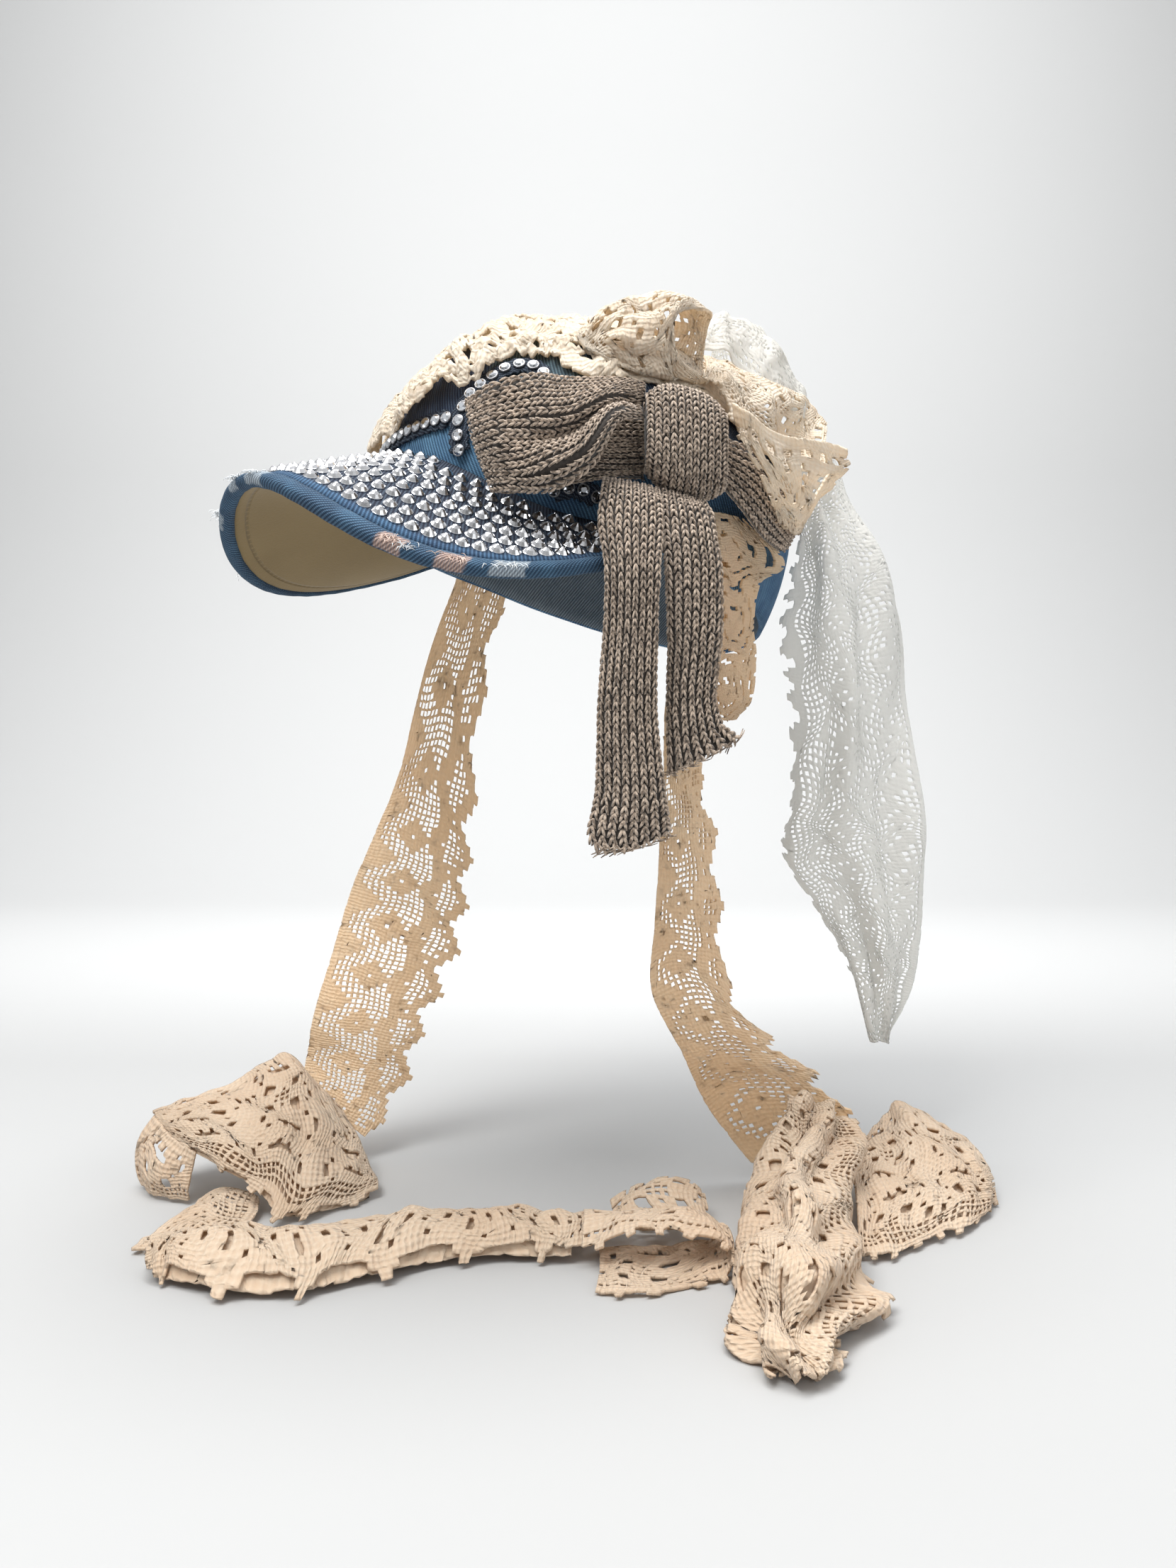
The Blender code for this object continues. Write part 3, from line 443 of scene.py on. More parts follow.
# %% The world
WORLD_BELOW, WORLD_ABOVE = (0.12, 0.12, 0.12), (1.2, 1.2, 1.22)
WORLD_STOPS = ((0.45, 0.22), (0.62, 0.60))
WORLD_STRENGTH = 0.75
world = bpy.data.worlds.new("studio")
bpy.context.scene.world = world
world.use_nodes = True
nodes, links = world.node_tree.nodes, world.node_tree.links
around = nodes.new("ShaderNodeTexCoord")
split = nodes.new("ShaderNodeSeparateXYZ")
ramp = nodes.new("ShaderNodeValToRGB")
ramp.color_ramp.interpolation = "EASE"
for element, colour in zip(ramp.color_ramp.elements, (WORLD_BELOW, WORLD_ABOVE)):
    element.color = (*colour, 1.0)
for stop, level in WORLD_STOPS:
    ramp.color_ramp.elements.new(stop).color = (level, level, level, 1.0)
half = nodes.new("ShaderNodeMath")
half.operation = "MULTIPLY_ADD"
half.inputs[1].default_value = half.inputs[2].default_value = 0.5
links.new(around.outputs["Generated"], split.inputs[0])
links.new(split.outputs[2], half.inputs[0])
links.new(half.outputs[0], ramp.inputs[0])
links.new(ramp.outputs[0], nodes["Background"].inputs["Color"])
nodes["Background"].inputs["Strength"].default_value = WORLD_STRENGTH
print("world of", len(ramp.color_ramp.elements), "stops")

# %% [markdown]
# ## Finishes of this cap
#
# Denim is a twill: diagonal ribs a little over a millimetre apart, paler where they are worn and
# nearly navy in the grooves. It was washed until it faded in patches. The crown's panels differ in
# colour, and the peak's board is mid blue along its border and painted navy further in, as the
# shade that falls between its studs. One finish paints them by how far round and how far up or in a
# point lies, so the twill runs on from one to the next.

# %% Denim
TWILL_RIB, TWILL_THREAD = 1.5, 0.7
RIB_WORN, RIB_GROOVE = (0.38, 0.52, 0.62), (0.006, 0.010, 0.022)


def denim(name, dark, light, fade_scale=28.0, fade=0.5, panels=None):
    """Twill in two blues, worn paler in patches; panels, sanded patches or the painted shade
    between studs may paint over them.
    """
    finish = Finish(name)
    x, y = finish.cloth_map()
    rib = ((x + y * 0.6) * (2 * pi / TWILL_RIB)).sine() * 0.5 + 0.5
    thread = ((x * 0.35 - y) * (2 * pi / TWILL_THREAD)).sine() * 0.5 + 0.5
    worn = finish.noise(fade_scale, 4.0).smooth(0.35, 0.75)
    streak = finish.noise(160.0, 2.0).smooth(0.3, 0.7)
    base = finish.blend(worn * fade + streak * 0.22, dark, light)
    if panels:
        base = panels(finish, x, y, base)
    pale = finish.blend(0.30, base, RIB_WORN)
    deep = finish.blend(0.55, base, RIB_GROOVE)
    twill = finish.blend(rib.smooth(0.25, 0.8), deep, finish.blend(thread * 0.7, base, pale))
    finish.set(Base_Color=twill, Roughness=0.92)
    finish.bump(rib * 0.7 + thread * 0.3, 0.0005, 0.8)
    return finish.material


def border_and_stud_shade(finish, along_edge, from_edge, base):
    """Mid blue along the border, and painted navy shade further in, between the studs."""
    wobble = finish.noise(120.0, 3.0) * 3.0
    # The navy here is painted shade: the dark that falls between the cones.
    return finish.blend((from_edge + wobble).smooth(11.5, 14.5), base, (0.010, 0.016, 0.040))


def crown_panels(finish, around_crown, up, base):
    """Navy between the stone lines, grey teal above them, and mid blue below."""
    wobble = finish.noise(90.0, 3.0) * 6.0 - 3.0
    navy = (up + wobble).smooth(9.0, 11.0)
    base = finish.blend(navy, base, (0.014, 0.030, 0.075))
    front = around_crown.smooth(32.0, 34.0) * (1.0 - around_crown.smooth(88.0, 92.0))
    teal = front * up.smooth(16.0, 18.0)
    return finish.blend(teal, base, (0.075, 0.125, 0.150))


CROWN_DENIM = denim(
    "crown_denim", (0.020, 0.095, 0.225), (0.150, 0.345, 0.530), panels=crown_panels
)
# The peak denim carries painted navy shade between the studs.
PEAK_DENIM = denim("peak_denim", (0.012, 0.055, 0.140), (0.055, 0.170, 0.320), panels=border_and_stud_shade)
DENIM_INSIDE = denim("denim_inside", (0.230, 0.290, 0.350), (0.420, 0.480, 0.530))
NAVY_STRIP = denim("navy_strip", (0.006, 0.010, 0.024), (0.016, 0.026, 0.052), 60.0, 0.4)
print("denims", [m.name for m in (CROWN_DENIM, PEAK_DENIM, DENIM_INSIDE, NAVY_STRIP)])

# %% [markdown]
# The felt under the peak is a dry, even tan, with a row of stitches near its edge. Studs are
# bright and their cups duller. A stone is a mirror with a clear coat, because a sheet of foil
# behind it throws the light back. The frayed threads are nearly white, or salmon where the weft
# shows.

# %% Felt, metal, stone and fibre
STITCH_LINE, STITCH_PITCH = 9.0, 3.2
felt = Finish("tan_felt")
felt_x, felt_y = felt.cloth_map()
stitch_row = (felt_y - STITCH_LINE).size().smooth(0.9, 0.2)
dash = (felt_x * (1 / STITCH_PITCH)).fraction().above(0.3)
fuzz = felt.noise(900.0, 3.0)
patch = felt.noise(30.0, 3.0)
felt_base = felt.blend(patch * 0.8, (0.205, 0.145, 0.062), (0.300, 0.225, 0.108))
felt.set(Base_Color=felt.blend(stitch_row * dash * 0.5, felt_base, (0.13, 0.09, 0.04)))
felt.set(Roughness=0.95, Sheen_Weight=0.2)
felt.bump(fuzz * 0.5 - stitch_row * 1.2, 0.0004, 0.8)

silver = Finish("stud_silver").set(Base_Color=(0.76, 0.77, 0.79), Metallic=1.0)
silver.set(Roughness=silver.noise(500.0) * 0.16 + 0.06)
crystal = Finish("cut_crystal").set(Base_Color=(0.72, 0.75, 0.79), Metallic=1.0, Roughness=0.04)
crystal.set(Coat_Weight=0.6, Coat_Roughness=0.02)
setting = Finish("stone_setting").set(Base_Color=(0.30, 0.30, 0.31), Metallic=1.0)
setting.set(Roughness=setting.noise(400.0) * 0.2 + 0.3)


def fibre(name, dark, light):
    """Loose threads in two shades."""
    finish = Finish(name)
    tint = finish.blend(finish.noise(300.0), dark, light)
    return finish.set(Base_Color=tint, Roughness=0.9).material


PALE_FIBRE = fibre("frayed_fibre", (0.62, 0.68, 0.74), (0.86, 0.86, 0.84))
SALMON_FIBRE = fibre("salmon_weft", (0.66, 0.45, 0.36), (0.84, 0.72, 0.65))
print("finishes so far", len(bpy.data.materials))

# %% [markdown]
# The yarn is a marl, light and dark plies twisted together, and fine hairs catch the light at
# its edges. Crochet cotton is matt, and light comes through it. The holes of the lace are cut in
# the mesh, and the finish adds what is too fine for that: posts and rows 2 mm apart, with painted
# shade in the grooves between them.

# %% Yarn and thread
WEAVE = 1.35


def yarn(name, dark, light):
    """A marled wool: light and dark plies, soft at the edges."""
    finish = Finish(name)
    ply = finish.noise(700.0, 3.0).smooth(0.35, 0.65)
    patch = finish.noise(45.0, 2.0)
    base = finish.blend(ply, dark, light)
    finish.set(Base_Color=finish.blend(patch * 0.35, base, dark), Roughness=0.92)
    finish.set(Sheen_Weight=0.35, Sheen_Roughness=0.5)
    finish.bump(finish.noise(1800.0, 2.0), 0.0003, 0.6)
    return finish.material


def cotton(name, base, shade, through, share, post=1.0):
    """Crochet thread: short upright posts between rows of chain, so many to a square, with painted
    shade between them.
    """
    finish = Finish(name)
    x, y = finish.cloth_map()
    posts, rows = ((way * (2 * pi * WEAVE)).sine() * 0.5 + 0.5 for way in (x, y))
    twist = finish.noise(1500.0, 2.0)
    soft = finish.noise(40.0, 3.0).smooth(0.3, 0.7)
    height = posts * (0.6 * post) + rows * 0.6 * post + twist * 0.4
    tint = finish.blend(soft * 0.5, base, shade)
    # Painted shade: the colour darkens towards the shade colour in the grooves between posts and
    # rows.
    groove_shade = (1.0 - posts) * 0.27 * post + (1.0 - rows) * 0.27 * post
    finish.set(Base_Color=finish.blend(groove_shade, tint, shade), Roughness=0.9, Sheen_Weight=0.2)
    finish.bump(height, 0.0007, 0.8)
    return finish.glow_through(through, share).material


WOOL = yarn("taupe_yarn", (0.145, 0.105, 0.075), (0.68, 0.550, 0.435))
# The core's near black yarn is painted shade: it stands for the dark between the stitches.
WOOL_CORE_SHADE = yarn("yarn_shade", (0.022, 0.017, 0.014), (0.055, 0.044, 0.036))
ECRU = cotton("ecru_crochet", (0.97, 0.91, 0.79), (0.84, 0.68, 0.50), (0.98, 0.80, 0.56), 0.32)
TIE_ECRU = cotton("ecru_tie", (0.98, 0.83, 0.63), (0.88, 0.66, 0.44), (1.00, 0.81, 0.58), 0.45)
PEACH = cotton("peach_crochet", (0.82, 0.685, 0.53), (0.68, 0.49, 0.33), (0.88, 0.66, 0.45), 0.22)
WHITE = cotton("white_net", (0.83, 0.82, 0.79), (0.76, 0.75, 0.72), (0.98, 0.98, 0.96), 0.55, 0.4)
print("finishes", len(bpy.data.materials))

# %% [markdown]
# ## Cloth from a few sections
#
# A strip of cloth is drawn as a short table: each row is one cross section, given by its two
# edges and its middle. A smooth curve runs through the rows, and a parabola through the three
# points of each. Ripples and small folds are added along the cloth's own normal, so it stays
# the size it was cut to.

# %% Curves through tables
Section = namedtuple(
    "Section",
    "a_across a_near a_up mid_across mid_near mid_up b_across b_near b_up",
)
Ripple = namedtuple("Ripple", "depth waves_along waves_across")
FLAT = Ripple(0.0, 1, 0)
CLOTH_FLOOR = FLOOR + 1.0
CROWN_HALF_LENGTH, CROWN_HALF_WIDTH = 101.0, 81.0
CROWN_HEIGHT, CROWN_TUCK = 80.0, 100.0


def sections(*rows):
    """A cloth's table, one cross section a row."""
    return [Section(*row) for row in rows]


def eased(t, start, leave, end, arrive):
    """A cubic from start to end, t from 0 to 1, that leaves and arrives with these slopes."""
    return (
        (2 * t**3 - 3 * t**2 + 1) * start
        + (t**3 - 2 * t**2 + t) * leave
        + (3 * t**2 - 2 * t**3) * end
        + (t**3 - t**2) * arrive
    )


def smooth_between(rows, place):
    """A smooth curve through the rows, read at many places from 0 to 1."""
    values = np.asarray(rows, float)
    last = len(values) - 1
    padded = np.vstack([2 * values[0] - values[1], values, 2 * values[last] - values[last - 1]])
    place = np.clip(np.asarray(place, float), 0.0, 1.0) * last
    i = np.minimum(place.astype(int), last - 1)
    before, here, there, after = padded[i], padded[i + 1], padded[i + 2], padded[i + 3]
    return eased((place - i)[:, None], here, 0.5 * (there - before), there, 0.5 * (after - here))


def crown_tall(height):
    """The crown's upright half axis: it is rounder below its widest line than above."""
    return np.where(np.asarray(height) > 0, CROWN_HEIGHT, CROWN_TUCK)


def lifted(places, least):
    """Move places out of the crown until they lie at least this far off it."""
    local = to_cap(places)
    reach = np.empty_like(local)
    reach[:, 0], reach[:, 1] = CROWN_HALF_LENGTH, CROWN_HALF_WIDTH
    reach[:, 2] = crown_tall(local[:, 2])
    depth = np.linalg.norm(local / (reach + least), axis=1)
    return from_cap(local / np.minimum(depth, 1.0)[:, None])


def band(rows, ripple=FLAT, least_lift=None):
    """A cloth's surface as a function of two arrays, u across it and v along it."""

    def surface(u, v):
        row = smooth_between(rows, v)
        edge_a, middle, edge_b = row[:, 0:3], row[:, 3:6], row[:, 6:9]
        u = np.asarray(u, float)[:, None]
        place = edge_a * (1 - u) * (1 - 2 * u) + middle * 4 * u * (1 - u) + edge_b * u * (2 * u - 1)
        u, v = u[:, 0], np.asarray(v, float)
        wave = np.sin(2 * pi * (ripple.waves_along * v + ripple.waves_across * u))
        swing = ripple.depth * np.minimum(3 * v, 1.0) * wave
        place[:, 1] += swing * (0.3 + 0.7 * np.abs(2 * u - 1))
        place[:, 2] = np.maximum(place[:, 2], CLOTH_FLOOR)
        place = from_side_frame(place)
        return place if least_lift is None else lifted(place, least_lift)

    return surface


print("a curve through 0, 2 and 0 reads", smooth_between([[0], [2], [0]], [0.25, 0.5])[:, 0])

# %% [markdown]
# Cloth is never quite smooth. Small folds come from a few sines of unlike lengths, bent by one
# another so that they never repeat, and they push the cloth along its own normal. Measuring the
# bent surface gives the size of the flat piece that it was cut from.

# %% Small folds and the flat size
Crumple = namedtuple("Crumple", "depth along across seed")
SMOOTH = Crumple(0.0, 1.0, 1.0, 0)
FRAME_STEP = 0.004


def spans(surface, u, v, step_u, step_v):
    """The way across and the way along, from a step before each place to a step after it."""
    across = surface(np.minimum(u + step_u, 1), v) - surface(np.maximum(u - step_u, 0), v)
    along = surface(u, np.minimum(v + step_v, 1)) - surface(u, np.maximum(v - step_v, 0))
    return across, along


def frame_on(surface, u, v):
    """Places, unit normals, and unit directions along the cloth."""
    across, along = spans(surface, u, v, FRAME_STEP, FRAME_STEP)
    return surface(u, v), unit(np.cross(across, along)), unit(along)


def soft_noise(u, v, crumple):
    """Smooth folds that never repeat: a few sines of unlike lengths and directions."""
    draw = np.random.default_rng(crumple.seed)
    total = np.zeros_like(u)
    for octave in range(5):
        turn = draw.uniform(-0.7, 0.7)
        pace = 1.0 + 0.55 * octave
        phase = draw.uniform(0, 2 * pi)
        swing = draw.uniform(0.5, 1.0) / (1 + 0.4 * octave)
        a = v * crumple.along * pace * cos(turn) + u * crumple.across * sin(turn)
        b = u * crumple.across * pace + draw.uniform(0, 2 * pi)
        bend = 2 * pi * a + phase + 0.9 * np.sin(2 * pi * b * 0.5)
        total += swing * (0.5 * np.sin(bend) + 0.9 * (0.64 - np.abs(np.sin(bend / 2))))
    return total / 2.2


def pushed(surface, rise):
    """The same cloth, pushed along its normal by rise(u, v) millimetres and kept off the floor."""

    def folded(u, v):
        u, v = np.asarray(u, float), np.asarray(v, float)
        place, normal, _ = frame_on(surface, u, v)
        place = place + normal * (rise(u, v) * MM)[:, None]
        place[:, 2] = np.maximum(place[:, 2], CLOTH_FLOOR * MM)
        return place

    return folded


def crumpled(surface, crumple):
    """The same cloth with small irregular folds."""
    if not crumple.depth:
        return surface
    return pushed(surface, lambda u, v: crumple.depth * soft_noise(u, v, crumple))


def run_length(points):
    """Distance along a line of points, from its start."""
    return np.concatenate([[0], np.cumsum(np.linalg.norm(np.diff(points, axis=0), axis=1))])


def flat_size(surface):
    """Width and length of a cloth, in metres, as if it were laid out flat."""
    t = np.linspace(0, 1, 41)
    lines = [np.full(len(t), k) for k in (0.1, 0.3, 0.5, 0.7, 0.9)]
    widths = [run_length(surface(t, line))[-1] for line in lines]
    lengths = [run_length(surface(line, t))[-1] for line in lines]
    return float(np.mean(widths)), float(np.mean(lengths))


print("a curve of 3 points is", round(float(run_length([[0, 0], [3, 4], [3, 5]])[-1]), 1), "long")

# %% [markdown]
# ## Crochet with real holes
#
# Filet crochet is worked on squared paper. Each square is a small frame of thread, left open or
# filled with posts, and the pattern is which squares are filled. The cloth is made the same way:
# thread bars between the squares, and a filled square where the chart says so. The chart is a
# rule or a small drawn repeat, and cells left out at the sides give the scalloped edge.
# The squares' corners wander a little and the rows bend, because no crochet lies straight. The
# holes' corners are then drawn in, and the open mesh is given the thread's thickness, so every
# hole is cut right through.

# %% From a chart to a cloth


def rounded(flat, faces, share=0.20):
    """Pull every vertex on a hole's or the cloth's edge towards its neighbours on that edge."""
    face = np.array(faces)
    edges = np.sort(np.stack([face, np.roll(face, -1, 1)], 2).reshape(-1, 2), 1)
    edges, uses = np.unique(edges, axis=0, return_counts=True)
    edges = edges[uses == 1]
    total, count = np.zeros_like(flat), np.zeros(len(flat))
    for here, there in (edges.T, edges.T[::-1]):
        np.add.at(total, here, flat[there])
        np.add.at(count, here, 1)
    on_edge = count > 0
    flat = flat.copy()
    flat[on_edge] += share * (total[on_edge] / count[on_edge][:, None] - flat[on_edge])
    return flat


CLOTH_SEED, WANDER, BEND_EASE = 1, 0.09, 4


def open_cloth(name, surface, cells, chart, finish, bar=0.18, thickness=1.2, bend=0.8):
    """A cloth of bars and filled squares; chart(i, j) says 'full', 'open', 'hole' or 'none'."""
    across, along = cells
    draw = np.random.default_rng(CLOTH_SEED)
    columns, rows = (
        [k + side * bar / 2 for k in range(count + 1) for side in (-1, 1)] for count in cells
    )
    column, row = crossings(columns, rows)

    def worked(here, count, wave):
        """Where lines of thread really run: off by a little, and in soft bends inside."""
        inside = np.clip(np.minimum(here, count - here) / BEND_EASE, 0, 1)
        there = here + draw.normal(0, WANDER, len(here)) + bend * inside * np.sin(wave + CLOTH_SEED)
        return np.clip((there + bar / 2) / (count + bar), 0, 1)

    u = worked(column, across, 0.55 * row + 2 * np.sin(0.23 * column))
    v = worked(row, along, 0.60 * column + 2 * np.sin(0.21 * row))
    kind = {(i, j): chart(i, j) for i in range(across) for j in range(along)}
    wide = 2 * (across + 1)
    faces = []
    for j in range(2 * along + 1):
        for i in range(2 * across + 1):
            near = [
                kind.get((a, b), "none")
                for a in ((i - 1) // 2, i // 2) for b in ((j - 1) // 2, j // 2)
            ]
            if all(k in ("none", "hole") for k in near):
                continue
            if i % 2 and j % 2 and near[0] == "open":
                continue
            a = j * wide + i
            faces.append((a, a + 1, a + wide + 1, a + wide))
    used = sorted({c for face in faces for c in face})
    renumber = {old: new for new, old in enumerate(used)}
    faces = [tuple(renumber[c] for c in face) for face in faces]
    flat = rounded(np.stack([u, v], 1)[used], faces)
    obj = add_object(name, surface(flat[:, 0], flat[:, 1]), faces, finish)
    put_map(obj, np.stack([column, row], 1)[used])
    present = sum(k != "none" for k in kind.values()) / len(kind)
    return thicken(obj, thickness), present


def cells_for(surface, cell):
    """How many squares of this size a cloth is across and along."""
    width, length = flat_size(surface)
    return max(int(round(width / MM / cell)), 3), max(int(round(length / MM / cell)), 3)


UNDER_SHARE = 0.81


def declare(obj, node, slot, surface, held, rests_on, share, layers=1):
    """Attach a finished cloth, hide its solid and print its flat size; a second layer doubles the
    width and covers a little less than the first.
    """
    width, length = flat_size(surface)
    width, share = width * layers, (share + UNDER_SHARE * (layers - 1)) / layers
    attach(obj, "root")
    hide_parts(node)
    share * width * length
    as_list(rests_on)
    print(f"{obj.name}: {width / MM:.0f} by {length / MM:.0f} mm flat, {triangles(obj)} triangles")


print("in a doubled cloth the second layer covers", UNDER_SHARE)

# %% [markdown]
# Each piece of the lace has its own pattern, drawn on squared paper as a small repeat: a
# rose of long petals in close cloth, slots for the strip on the floor, and leaves for the white
# net. In the drawings a hash is a filled square and a dot is an open one with thread round it. An
# o is open too, and runs together with any o beside it into one bigger hole.

# %% Charts drawn on squared paper
ROSE = (
    "################",
    "#######oo#######",
    "##oo##o##o##oo##",
    "#o##o######o##o#",
    "#####oo##oo#####",
    "##o##oo##oo##o##",
    "#oo####..####oo#",
    "##o###....###o##",
    "#oo####..####oo#",
    "##o##oo##oo##o##",
    "#####oo##oo#####",
    "#o##o######o##o#",
    "##oo##o##o##oo##",
    "#######oo#######",
)
SLOTS = (
    "#oo###..####",
    "####oo###oo#",
    "##..###oo###",
    "#######...##",
    "o##oo#####oo",
    "###..###oo##",
    "#oo###oo####",
    "####..####oo",
    "##oo###oo###",
    "####oo####..",
)
LEAF = (
    "....#.......",
    "...###......",
    "..##.##...#.",
    "..#.#.#..###",
    "..##.##.##.#",
    "...###..#.#.",
    "....#...##.#",
    "....#....###",
    "...###....#.",
    "..##.##...#.",
    "..#.#.#..##.",
    "...###..#...",
)
SQUARE_KINDS = {"#": "full", ".": "open", "o": "hole"}


def repeat(drawing, i, j):
    """What a drawing repeated in both directions has at a square."""
    return SQUARE_KINDS[drawing[j % len(drawing)][i % len(drawing[0])]]


print("a rose takes", len(ROSE[0]), "by", len(ROSE), "squares")

# %% [markdown]
# A drawing becomes a lace when it is repeated over a whole cloth and given its edges. Most ends
# have a band of net and pointed tabs on the outer edge. The doily's rings and the ties' diamonds
# are rules, not drawings, because they have to fit the width of their cloth. Each function below
# takes the cloth's size in squares and gives back the chart.

# %% Laces from charts and rules


def tabbed(drawing, net, tab, every=7):
    """A lace of one drawing, with a band of net and pointed tabs along its outer edge."""

    def chart_of(across, along):
        def chart(i, j):
            outer, step = across - 1 - i, abs(j % every - every // 2)
            if outer < tab:
                return "full" if step <= outer else "none"
            if outer == tab or i == 0:
                return "full"
            return "open" if outer <= tab + net else repeat(drawing, i, j)

        return chart

    return chart_of


def turned_over(lace):
    """The same lace with its outer edge on the other side."""

    def chart_of(across, along):
        chart = lace(across, along)
        return lambda i, j: chart(across - 1 - i, j)

    return chart_of


def plain(drawing):
    """A lace of one drawing, with small scallops all round."""

    def chart_of(across, along):
        def chart(i, j):
            edge = min(i, j, across - 1 - i, along - 1 - j)
            run = j if edge in (i, across - 1 - i) else i
            if edge == 0:
                return "none" if run % 3 == 2 else "full"
            return repeat(drawing, i + 5, j)

        return chart

    return chart_of


def doily(across, along):
    """Rings round three centres down the cloth, cut into long holes."""
    pace = along / 3

    def chart(i, j):
        if min(i, across - 1 - i) == 0:
            return "none" if j % 4 == 3 else "full"
        part = min(int(j / pace), 2)
        x, y = i + 0.5 - across * (0.40, 0.58, 0.45)[part], j + 0.5 - (part + 0.5) * pace
        far, turn = np.hypot(x, y), np.arctan2(y, x) / (2 * pi)
        cut_here = far > 1.5 and far % 3.8 < 1.5 and (6 * turn + 0.2 * far) % 1.0 < 0.72
        return "hole" if cut_here else "full"

    return chart


def edging_lace(across, along):
    """A wide edging: a selvedge, diamonds with an eye, a zigzag, an open net and scallops."""
    reach, eye = 5, round(across * 0.33)
    period = 2 * reach + 1

    def chart(i, j):
        step = j % period - reach
        half = (j + reach) % period - reach
        swing = abs(step) / reach
        edge = across - 0.5 - 2.6 * swing
        if i > edge:
            return "none"
        if i == 0 or i > edge - 1.6:
            return "full"
        if i > edge - 2.6:
            return "open" if j % 2 else "full"
        diamond = abs(i - eye) + abs(step) <= 3 and (i, step) != (eye, 0)
        side = i - 1 + abs(half) <= 3
        zigzag = abs(i - across * 0.62 - 1.6 * (swing - 0.5)) < 1.3
        return "full" if diamond or side or zigzag else "open"

    return chart


print("one row of a tie:", *(edging_lace(16, 1)(i, 0) for i in range(16)))

# %% [markdown]
# ## Repeats by Geometry Nodes
#
# Studs, stones, stitches and frayed threads are one small shape set down many times. One tree
# does them all. It reads a mesh whose faces mark the places: a copy goes to the middle of each
# face, stands along its normal, turns to the direction stored on the face and takes the size
# stored there. The copies are then made real.

# %% The tree that sets copies on faces
MARKS = ("out", "ahead", "scale")


def copies_tree():
    """A node tree: mesh with face marks in, realized copies out."""
    tree = bpy.data.node_groups.new("set_on_faces", "GeometryNodeTree")
    kinds = {"Marks": "Geometry", "Piece": "Object", "Size": "Float", "Finish": "Material"}
    for label, kind in kinds.items():
        tree.interface.new_socket(label, in_out="INPUT", socket_type="NodeSocket" + kind)
    tree.interface.new_socket("Copies", in_out="OUTPUT", socket_type="NodeSocketGeometry")

    def add(kind, **settings):
        node = tree.nodes.new(kind)
        for key, setting in settings.items():
            setattr(node, key, setting)
        return node

    stored = {}
    for label in MARKS:
        read = add("GeometryNodeInputNamedAttribute", data_type="FLOAT_VECTOR")
        read.inputs["Name"].default_value = label
        stored[label] = read.outputs["Attribute"]
    source, sink = add("NodeGroupInput"), add("NodeGroupOutput")
    points = add("GeometryNodeMeshToPoints", mode="FACES")
    upright = add("FunctionNodeAlignRotationToVector", axis="Z")
    ahead = add("FunctionNodeAlignRotationToVector", axis="Y", pivot_axis="Z")
    grow = add("ShaderNodeVectorMath", operation="SCALE")
    place = add("GeometryNodeInstanceOnPoints")
    piece = add("GeometryNodeObjectInfo")
    real = add("GeometryNodeRealizeInstances")
    paint = add("GeometryNodeSetMaterial")
    for start, end in (
        (source.outputs["Marks"], points.inputs["Mesh"]),
        (source.outputs["Piece"], piece.inputs["Object"]),
        (stored["out"], upright.inputs["Vector"]),
        (upright.outputs["Rotation"], ahead.inputs["Rotation"]),
        (stored["ahead"], ahead.inputs["Vector"]),
        (stored["scale"], grow.inputs[0]),
        (source.outputs["Size"], grow.inputs["Scale"]),
        (points.outputs[0], place.inputs["Points"]),
        (piece.outputs["Geometry"], place.inputs["Instance"]),
        (ahead.outputs["Rotation"], place.inputs["Rotation"]),
        (grow.outputs[0], place.inputs["Scale"]),
        (place.outputs[0], real.inputs[0]),
        (real.outputs[0], paint.inputs["Geometry"]),
        (source.outputs["Finish"], paint.inputs["Material"]),
        (paint.outputs[0], sink.inputs[0]),
    ):
        tree.links.new(start, end)
    return tree


COPIES = copies_tree()
MARK_SIZE = 1e-5


def set_copies(name, places, outs, aheads, scales, piece, finish, size=1.0):
    """One plain mesh of copies of a piece, one at each place."""
    places, outs, aheads = (np.asarray(a, float) for a in (places, outs, aheads))
    scales = np.broadcast_to(np.asarray(scales, float), places.shape)
    half = MARK_SIZE
    side = np.cross(outs, aheads)
    marks = np.stack([places - side * half, places + side * half, places + aheads * half], 1)
    faces = np.arange(3 * len(places)).reshape(-1, 3)
    obj = add_object(name, marks.reshape(-1, 3), faces, finish)
    for label, values in zip(MARKS, (outs, aheads, scales)):
        mark = obj.data.attributes.new(label, "FLOAT_VECTOR", "FACE")
        mark.data.foreach_set("vector", np.ascontiguousarray(values, np.float32).ravel())
    modifier = obj.modifiers.new("Copies", "NODES")
    modifier.node_group = COPIES
    sockets = {s.name: s.identifier for s in COPIES.interface.items_tree if s.in_out == "INPUT"}
    modifier[sockets["Piece"]] = piece
    modifier[sockets["Size"]] = size
    modifier[sockets["Finish"]] = finish
    bake(obj)
    for label in MARKS:
        if label in obj.data.attributes:
            obj.data.attributes.remove(obj.data.attributes[label])
    return obj


def pattern_piece(name, vertices, faces, smooth=True):
    """A small shape to copy, kept out of the scene; flat faces make it sparkle."""
    mesh = bpy.data.meshes.new(name)
    mesh.from_pydata([tuple(v) for v in vertices], [], [tuple(f) for f in faces])
    mesh.update()
    if smooth:
        mesh.shade_smooth()
    return bpy.data.objects.new(name, mesh)


def ring_round(radius, rise, sides, shift=0.0):
    """Corners round a circle at one height; shift turns it by a part of a side."""
    turns = [2 * pi * (k + shift) / sides for k in range(sides)]
    return [(radius * cos(turn), radius * sin(turn), rise) for turn in turns]


